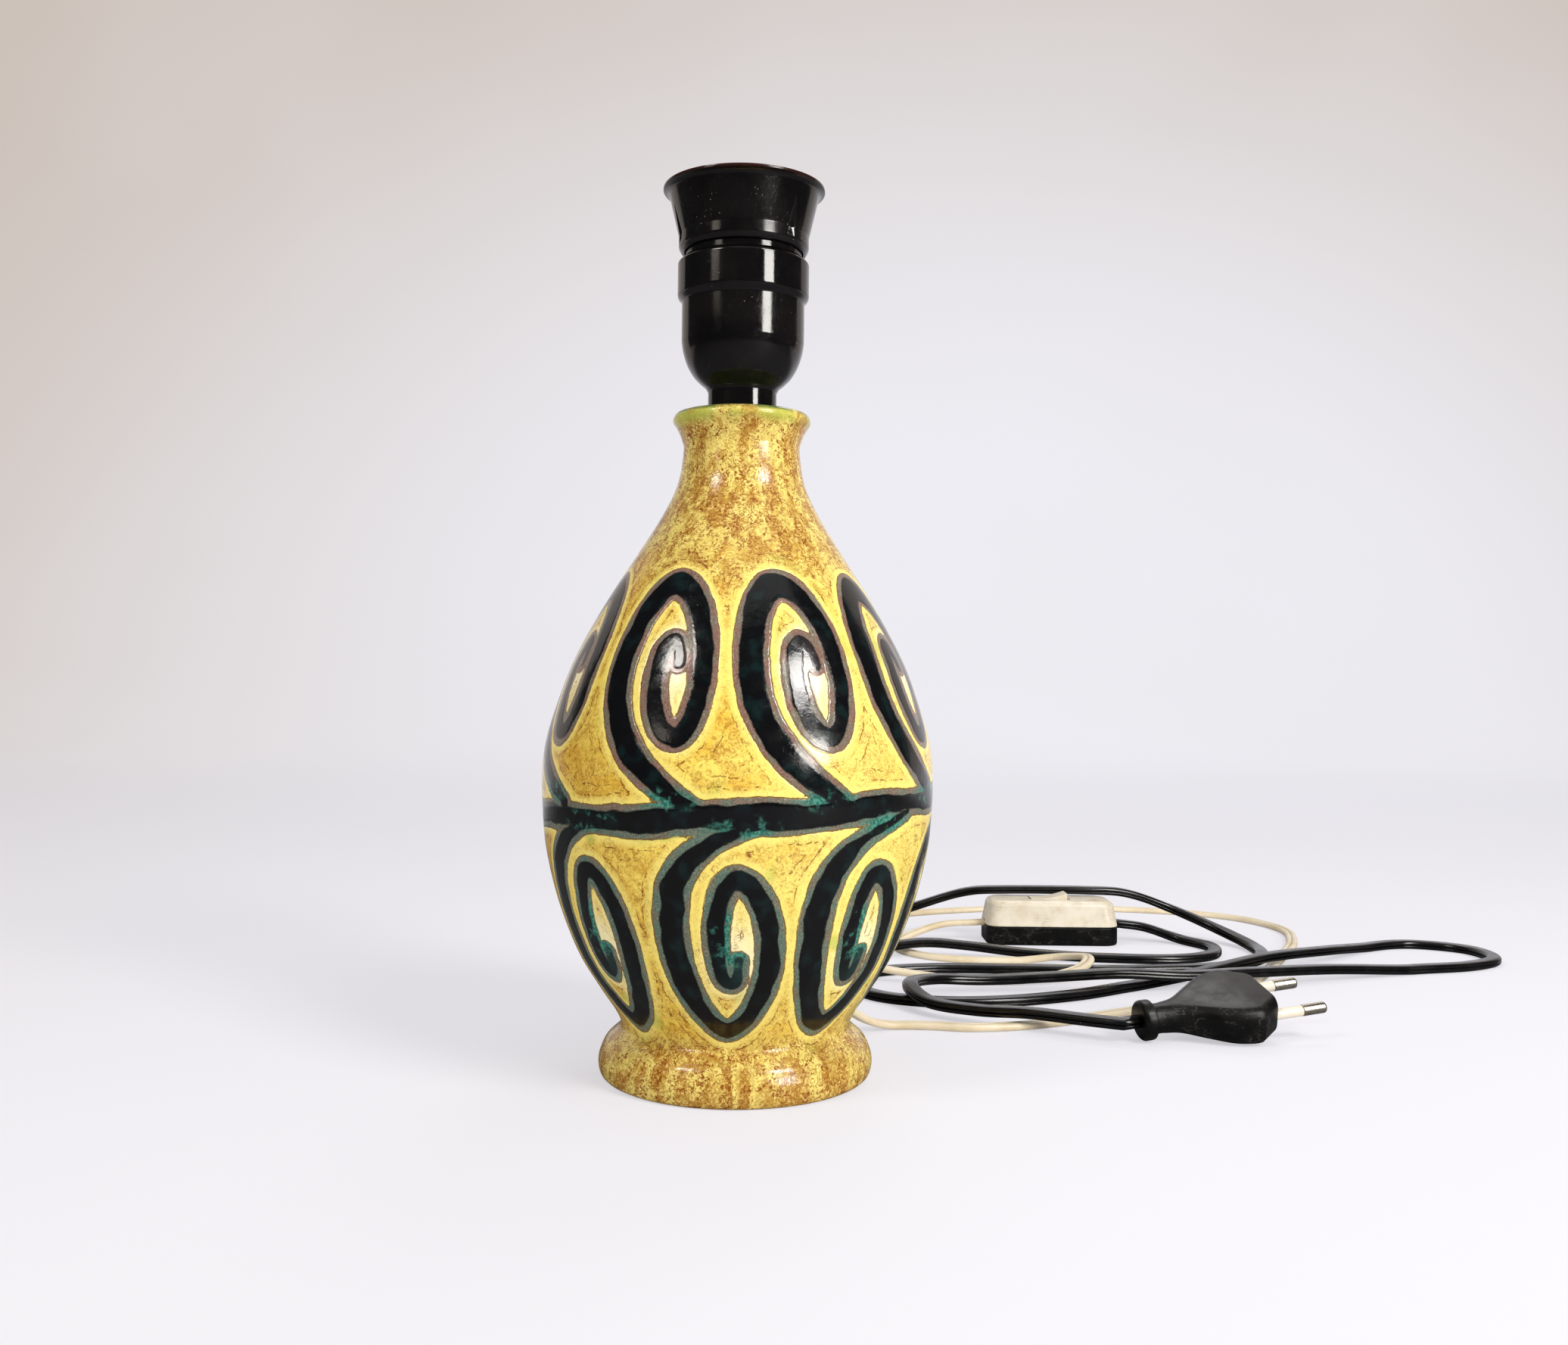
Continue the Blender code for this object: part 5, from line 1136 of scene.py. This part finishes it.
def thread_sleeve(finish):
    top = SLEEVE_Z + SLEEVE_HEIGHT
    bore = SLEEVE_RADIUS - SLEEVE_WALL
    heights = np.arange(SLEEVE_Z + SLEEVE_WALL, top, SLEEVE_STEP)
    outline = np.array([
        (SLEEVE_FLANGE_RADIUS, SLEEVE_Z), (bore, SLEEVE_Z), *((SLEEVE_RADIUS, height) for height in heights),
        *((bore, height) for height in heights[::-1]), (SLEEVE_FLANGE_RADIUS, SLEEVE_Z + SLEEVE_WALL),
    ])

    def thread(points):
        return threaded_wall(points, SLEEVE_PITCH, SLEEVE_WAVE, SLEEVE_Z + SLEEVE_PLAIN, top - 2 * MM)

    piece = turned("bulb_thread", outline, finish, place=thread)
    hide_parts("thread_sleeve")
    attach(piece, "lamp")


def grip_half_width(up):
    """Half the width of a grip at a height above its round lower end."""
    round_end = np.sqrt(np.clip(GRIP_RADIUS ** 2 - (up - GRIP_RADIUS) ** 2, 0, None))
    point = GRIP_RADIUS * (GRIP_LENGTH - up) / (GRIP_LENGTH - GRIP_RADIUS)
    return np.clip(np.where(up < GRIP_RADIUS, round_end, point), 0, None)


def shade_ring(finish):
    """The ring, with its drop-shaped grips pressed in."""
    wall_top = RING_HEIGHT - RING_LIP_HEIGHT
    lip = RING_HEIGHT - RING_LIP_THICKNESS
    foot = (RING_FOOT_RADIUS, RING_FOOT_HEIGHT)
    top = (RING_TOP_RADIUS, wall_top)
    steps = round((wall_top - RING_FOOT_HEIGHT) / WALL_STEP)
    wall = station_curve(foot, top, [(step / steps, step / steps) for step in range(2, steps + 1)])
    flare = station_curve(top, (RING_LIP_RADIUS, lip), ring_flare_shares)
    wall += smooth_curve([top, *flare], WALL_STEP)[1:-1].tolist()
    outline = rounded_outline([
        (RING_BOTTOM_RADIUS, 0, 0.3), (RING_FOOT_RADIUS, RING_FOOT_CHAMFER, 0.9), (*foot, 1.2),
        *((radius, height, 0) for radius, height in wall),
        (RING_LIP_RADIUS, lip, 0.2), (RING_LIP_RADIUS, RING_HEIGHT, 0.4), (RING_TOP_RADIUS, RING_HEIGHT, 0.6),
        (RING_TOP_RADIUS - RING_WALL, wall_top, 0.8),
        (RING_FOOT_RADIUS - RING_WALL + GAP, RING_THREAD_HEIGHT + GAP, 0.3),
        (RING_THREAD_RADIUS, RING_THREAD_HEIGHT, 0.2), (RING_THREAD_RADIUS, 0, 0.3),
    ]) + np.array([0, RING_Z])
    lean = math.atan2(RING_TOP_RADIUS - RING_FOOT_RADIUS, wall_top - RING_FOOT_HEIGHT)

    def press(points):
        turn = np.arctan2(points[..., 1], points[..., 0])
        radius = np.hypot(points[..., 0], points[..., 1])
        up = (points[..., 2] - RING_Z - RING_FOOT_HEIGHT - GRIP_ABOVE_FOOT) / math.cos(lean)
        half_width = grip_half_width(up)
        for count in range(GRIP_COUNT):
            angle = GRIP_FIRST_ANGLE + 2 * math.pi * count / GRIP_COUNT
            across = ((turn - angle + math.pi) % (2 * math.pi) - math.pi) * radius
            offset = np.clip(abs(across) / np.maximum(half_width, GRIP_LEAST), 0, 1)
            depth = np.minimum(GRIP_DEPTH, GRIP_DEPTH_SHARE * half_width) * (1 - offset ** 2) ** 2
            depth = np.where(radius > RING_FOOT_RADIUS - GRIP_MARGIN, depth, 0)
            points[..., :2] *= (1 - depth / radius)[..., None]
        return points

    piece = turned("grip_ring", outline, finish, RING_SIDES, press)
    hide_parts("shade_ring")
    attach(piece, "shade_clamp")


# In-line switch

def at_switch(points):
    return points + SWITCH_PLACE


def case_loop(inset, height, corner=SWITCH_CORNER):
    flat = rounded_rectangle(SWITCH_LENGTH / 2 - inset, SWITCH_WIDTH / 2 - inset, corner)
    return np.column_stack([flat, np.full(len(flat), height)])


def open_entries(piece, finish):
    """Cut the openings of both leads into a shell."""
    for side, width, thickness in ((-1, PALE_WIDTH, PALE_THICKNESS), (1, BLACK_WIDTH, BLACK_THICKNESS)):
        inside = side * (SWITCH_LENGTH / 2 - LEAD_INSERTION - ENTRY_OVERRUN)
        outside = side * (SWITCH_LENGTH / 2 + ENTRY_OVERRUN)
        tall = thickness / 2 + GAP
        wide = width / 2 + GAP
        low = np.array([min(inside, outside), -wide, SWITCH_SEAM_Z - tall]) + SWITCH_PLACE
        high = np.array([max(inside, outside), wide, SWITCH_SEAM_Z + tall]) + SWITCH_PLACE
        cut(piece, cutter_block(low, high, finish))


def switch_lid(finish):
    seam = SWITCH_BOTTOM_HEIGHT + GAP
    inner_corner = SWITCH_CORNER - SWITCH_WALL
    loops = [
        case_loop(SWITCH_WALL + SWITCH_DRAFT, SWITCH_TOP_Z - SWITCH_WALL - SWITCH_EDGE, inner_corner),
        case_loop(SWITCH_WALL, seam, inner_corner), case_loop(SEAM_EDGE, seam), case_loop(0, seam + GAP),
        case_loop(SWITCH_DRAFT * DRAFT_SHARE, SWITCH_TOP_Z - SWITCH_CROWN - GAP),
    ]
    for across, up in quarter_arc(9):
        inset = SWITCH_DRAFT + SWITCH_CROWN * (1 - across)
        loops.append(case_loop(inset, SWITCH_TOP_Z - SWITCH_CROWN * (1 - up)))
    lid = lofted("switch_lid", loops, finish, at_switch)
    half = np.array([ROCKER_LENGTH / 2 + ROCKER_CLEARANCE, ROCKER_WIDTH / 2 + GAP, 0])
    low = SWITCH_PLACE - half + np.array([0, 0, PIVOT_Z - ROCKER_CHEEK_BELOW])
    cut(lid, cutter_block(low, SWITCH_PLACE + half + np.array([0, 0, SWITCH_TOP_Z + MM]), finish))
    open_entries(lid, finish)
    lid.data.shade_smooth()
    soften(lid, SOFT_EDGE)
    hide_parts("switch_top")
    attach(lid, "lamp")
    return lid


def switch_tray(finish):
    inner_corner = SWITCH_CORNER - SWITCH_WALL
    chamfer = SWITCH_EDGE * TRAY_CHAMFER_SHARE
    loops = [
        case_loop(SWITCH_EDGE, 0), case_loop(chamfer, chamfer), case_loop(0, SWITCH_EDGE),
        case_loop(0, SWITCH_BOTTOM_HEIGHT - SEAM_EDGE), case_loop(SEAM_EDGE, SWITCH_BOTTOM_HEIGHT),
        case_loop(SWITCH_WALL, SWITCH_BOTTOM_HEIGHT, inner_corner),
        case_loop(SWITCH_WALL, SWITCH_WALL, inner_corner),
    ]
    tray = lofted("switch_tray", loops, finish, at_switch)
    open_entries(tray, finish)
    for side in (1, -1):
        place = SWITCH_PLACE + np.array([side * CASE_SCREW_X, -side * CASE_SCREW_Y, -MM])
        cut(tray, cutter_rod(place, (0, 0, 1), SCREW_HEAD_HOLE_RADIUS, SCREW_HEAD_HOLE_DEPTH, finish))
        cut(tray, cutter_rod(place, (0, 0, 1), SCREW_HOLE_RADIUS, SCREW_HOLE_DEPTH, finish))
    tray.data.shade_smooth()
    soften(tray, TRAY_SOFT_EDGE)
    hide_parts("switch_bottom")
    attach(tray, "lamp")
    return tray


def rocker_key(finish):
    """The rocker, dished along its top, tipped to off on its pin."""
    low = ROCKER_PIVOT_DEPTH + ROCKER_DISH - ROCKER_DEPTH
    half = ROCKER_LENGTH / 2
    foot = half - ROCKER_TAPER
    keel = low - ROCKER_DISH
    profile = [(-foot, low), (-foot / 3, keel), (foot / 3, keel), (foot, low)]
    for step in range(17):
        part = 1 - step / 8
        profile.append((half * part, ROCKER_PIVOT_DEPTH + ROCKER_DISH * abs(part) ** ROCKER_DISH_POWER))
    width = ROCKER_WIDTH / 2
    loops = [[(x, y, z) for x, z in profile] for y in (-width, -width / 3, width / 3, width)]
    tilt = np.array(Euler((0, -ROCKER_TILT, 0)).to_matrix())
    place = SWITCH_PLACE + np.array([0, 0, PIVOT_Z])
    key = lofted("rocker_key", loops, finish, lambda points: points @ tilt.T + place)
    start = place - np.array([0, 2 * width, 0])
    cut(key, cutter_rod(start, (0, 1, 0), ROCKER_BORE_RADIUS, 4 * width, finish))
    key.data.shade_smooth()
    soften(key, ROCKER_SOFT_EDGE, 3)
    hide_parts("switch_rocker")
    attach(key, "rocker")
    return key


# Plug

def plug_section(along, half_width, half_thickness, corner):
    outline = rounded_rectangle(half_width, half_thickness, min(corner, half_thickness), steps=9)
    return np.column_stack([np.full(len(outline), along), outline])


def plug_moulding(finish):
    """The plug's body with its collar, lofted along its own axis."""
    collar = [(along * MM, COLLAR_RADIUS - inset * MM) for along, inset in collar_rear_edge]
    collar += [(COLLAR_LENGTH - along * MM, COLLAR_RADIUS - inset * MM) for along, inset in collar_front_edge]
    sections = [(along, radius, radius, COLLAR_RADIUS) for along, radius in collar]
    sections.append((COLLAR_LENGTH + GAP, PLUG_NECK_RADIUS, PLUG_NECK_RADIUS, PLUG_NECK_RADIUS))
    stations = []
    for along, wide in plug_width_shares:
        stations.append([along * PLUG_LENGTH])
        for full in (PLUG_HALF_WIDTH, PLUG_HALF_THICKNESS, PLUG_CORNER):
            stations[-1].append(PLUG_NECK_RADIUS + wide * (full - PLUG_NECK_RADIUS))
    sections += smooth_curve(stations, PLUG_STEP).tolist()
    start = plug_width_shares[-1][0] * PLUG_LENGTH
    run = PLUG_LENGTH - start
    narrowing = PLUG_HALF_WIDTH - PLUG_FRONT_HALF_WIDTH
    for step in range(1, 10):
        part = step / 10
        wide = PLUG_HALF_WIDTH - narrowing * part
        sections.append((start + run * part, wide, PLUG_HALF_THICKNESS, PLUG_CORNER))
    for across, ahead in quarter_arc(5):
        back = PLUG_FRONT_EDGE * (1 - ahead)
        inset = PLUG_FRONT_EDGE * (1 - across)
        wide = PLUG_FRONT_HALF_WIDTH + narrowing * back / run - inset
        sections.append((PLUG_LENGTH - back, wide, PLUG_HALF_THICKNESS - inset, PLUG_CORNER - inset))
    piece = lofted("plug_moulding", [plug_section(*sizes) for sizes in sections], finish, plug_points)
    for side in (-1, 1):
        hole = plug_points(np.array([PLUG_LENGTH - PIN_DEPTH - GAP, side * PIN_SPACING / 2, 0]))
        cut(piece, cutter_rod(hole, PLUG_TURN @ ALONG, PIN_RADIUS + GAP / 2, PIN_DEPTH + 2 * MM, finish))
    piece.data.shade_smooth()
    piece.data.set_sharp_from_angle(angle=PLUG_SHARP_ANGLE)
    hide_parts("plug_body")
    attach(piece, "lamp")
    return piece


def along_plug(side):
    """A function that stands points turned about Z on the plug's front face, at one of its pins."""
    turn = np.array(Euler((0, math.pi / 2, 0)).to_matrix())
    base = np.array([PLUG_LENGTH, side * PIN_SPACING / 2, 0])
    return lambda points: plug_points(points @ turn.T + base)


def plug_pins(nickel, jacket):
    pieces = []
    start = PIN_LENGTH - PIN_TIP_LENGTH
    bore = PIN_CORE_RADIUS + PIN_SLEEVE_CLEARANCE
    for side, label in ((-1, "near"), (1, "far")):
        tip = rounded_outline([
            (PIN_AXIS_HOLE, -PIN_DEPTH, 0), (PIN_CORE_RADIUS, -PIN_DEPTH, 0), (PIN_CORE_RADIUS, start, 0),
            (PIN_RADIUS, start, 0.25), (PIN_RADIUS, PIN_LENGTH, 1.3), (PIN_AXIS_HOLE, PIN_LENGTH, 0),
        ], steps=8)
        pin = turned("pin_" + label, tip, nickel, PIN_SIDES, along_plug(side))
        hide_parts("plug_pin_" + label)
        radius = PIN_RADIUS - GAP / 3
        end = start - GAP / 3
        tube = rounded_outline([
            (bore, -PIN_DEPTH, 0), (radius, -PIN_DEPTH, 0), (radius, end, 0.2), (bore, end, 0),
        ])
        sleeve = turned("pin_jacket_" + label, tube, jacket, PIN_SIDES, along_plug(side))
        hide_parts("plug_sleeve_" + label)
        pieces += [pin, sleeve]
    for piece in pieces:
        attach(piece, "lamp")
    return pieces


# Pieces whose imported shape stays

def dress_packed_nodes(brass, steel, ceramic, sheath):
    for finish, names in (
        (steel, ("lock_screw", "terminal_screw_live", "terminal_screw_neutral", "core_screw_live",
                 "core_screw_neutral", "threaded_tube", "tube_washer", "case_screw_left", "case_screw_right",
                 "rocker_pin")),
        (brass, ("terminal_live", "terminal_neutral", "centre_contact", "side_contact", "tube_nut",
                 "contact_bridge", "switch_contact_in", "switch_contact_out", "neutral_link")),
        (ceramic, ("insulator_core",)),
        (sheath, ("inner_lead", "core_live", "core_neutral")),
    ):
        for name in names:
            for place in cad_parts[name].material_slots:
                place.material = finish
    for name in (
        "tube_washer", "tube_nut", "terminal_live", "terminal_neutral", "insulator_core", "centre_contact",
    ):
        soften(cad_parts[name], SOFT_EDGE)


# Floor, backdrop and light

def stage():
    """A sheet that lies as a floor and rises in one sweep behind."""
    made = Finish("white_sweep")
    # Painted light and shade: the sheet is palest at a spot behind the lamp and shades to a darker beige away
    # from it
    aside = made.maths("POWER", (made.axis("X") - PAINTED_LIGHT_X) * (1 / PAINTED_LIGHT_HALF_WIDTH), 2.0)
    above = made.maths("POWER", (made.axis("Z") - PAINTED_LIGHT_Z) * (1 / PAINTED_LIGHT_HALF_HEIGHT), 2.0)
    out_of_painted_light = made.maths("SQRT", aside + above)
    tint = made.mix(out_of_painted_light.step(0.35, 2.1), (239, 238, 244), (207, 196, 188))
    tint = made.mix(made.noise(PAPER_PATCH, detail=2).step(0.4, 0.7) * 0.15, tint, (232, 229, 232))
    # Painted dark reflection: to glossy rays the sheet in front of the lamp is near black, and behind it
    # glows
    glossy = made.ray("Glossy")
    back = made.axis("Y")
    behind = back.step(0.3, 1.1)
    made.base = made.mix(glossy * (1.0 - behind) * 0.85, tint, (20, 20, 20))
    made.finish(0.7, **{"Specular IOR Level": 0.15})
    lit = Value(made, made.shader.outputs[0])
    glow = made.value("Emission", 0, {"Color": tint})
    seen = made.ray("Camera").larger(glossy * behind).larger(made.ray("Transmission"))
    made.surface("Material Output", seen * back.step(0.3, 1.9, 0.6, 0.96), lit, glow)

    line = [(SWEEP_NEAR, 0.0), (SWEEP_BEND, 0.0)]
    line += [(SWEEP_BEND + SWEEP_RADIUS * far, SWEEP_RADIUS * (1 - low)) for low, far in quarter_arc(24, 1)]
    line.append((SWEEP_BEND + SWEEP_RADIUS, SWEEP_HEIGHT))
    vertices = [(x, y, z) for y, z in line for x in (-SWEEP_HALF_WIDTH, SWEEP_HALF_WIDTH)]
    faces = [(2 * row, 2 * row + 1, 2 * row + 3, 2 * row + 2) for row in range(len(line) - 1)]
    mesh = bpy.data.meshes.new("sweep")
    mesh.from_pydata(vertices, [], faces)
    link("sweep", mesh, made.material, sharp=None)


def soft_light(name, azimuth, elevation, distance, width, height, power, tint):
    data = bpy.data.lights.new(name, "AREA")
    data.shape = "RECTANGLE"
    data.size = width
    data.size_y = height
    data.energy = power
    data.color = colour(*tint)[:3]
    made = bpy.data.objects.new(name, data)
    bpy.context.scene.collection.objects.link(made)
    turn = math.radians(azimuth)
    rise = math.radians(elevation)
    away = Vector((math.sin(turn) * math.cos(rise), -math.cos(turn) * math.cos(rise), math.sin(rise)))
    made.location = Vector(LIGHT_AIM) + away * distance
    made.rotation_euler = (-away).to_track_quat("-Z", "Y").to_euler()


def lights():
    """The soft boxes, and a world that fills shadows, is dark in reflections and pale to the camera."""
    for name, values in light_boxes.items():
        soft_light(name, *values)
    world = bpy.data.worlds.new("studio")
    bpy.context.scene.world = world
    world.use_nodes = True
    made = Nodes(world.node_tree)
    made.nodes.remove(made.nodes["Background"])
    fill, dark, pale = (
        made.value("Background", 0, {"Color": colour(*tint), "Strength": strength})
        for tint, strength in (((250, 250, 255), 0.42), ((60, 60, 62), 1.0), ((236, 233, 238), 1.0))
    )
    mirrored = made.value("MixShader", 0, {0: made.ray("Glossy"), 1: fill, 2: dark})
    made.surface("World Output", made.ray("Camera").larger(made.ray("Transmission")), mirrored, pale)


def main():
    camera()
    lines = leads()
    bpy.context.scene.view_settings.view_transform = "Standard"
    bakelite = black_moulding("glossy_black_moulding")
    nickel = metal("nickelled_brass", (214, 208, 196), (188, 178, 158), 0.14, 0.3, (0.2, 0.2, 1.0))
    brass = metal("aged_brass", (214, 178, 104), (168, 128, 66))
    steel = metal("plated_steel", (196, 194, 190), (160, 156, 150))
    ceramic_body()
    cord_bushing(bakelite)
    holder_cap(bakelite)
    holder_mantle(black_moulding("black_thread"))
    thread_sleeve(brass)
    shade_ring(black_moulding("ring_black_moulding", RING_SHINE, RING_Z + RING_HEIGHT - RING_SHEEN_DEPTH))
    lid = switch_lid(cream_moulding("cream_case"))
    tray = switch_tray(satin_moulding("switch_black_moulding"))
    key = rocker_key(cream_moulding("cream_key"))
    plug = plug_moulding(satin_moulding("plug_rubber"))
    pins = plug_pins(nickel, cream_moulding("white_jacket"))
    dress_packed_nodes(brass, steel, porcelain(), lines["pale_lead"][0].data.materials[0])
    stage()
    lights()


main()
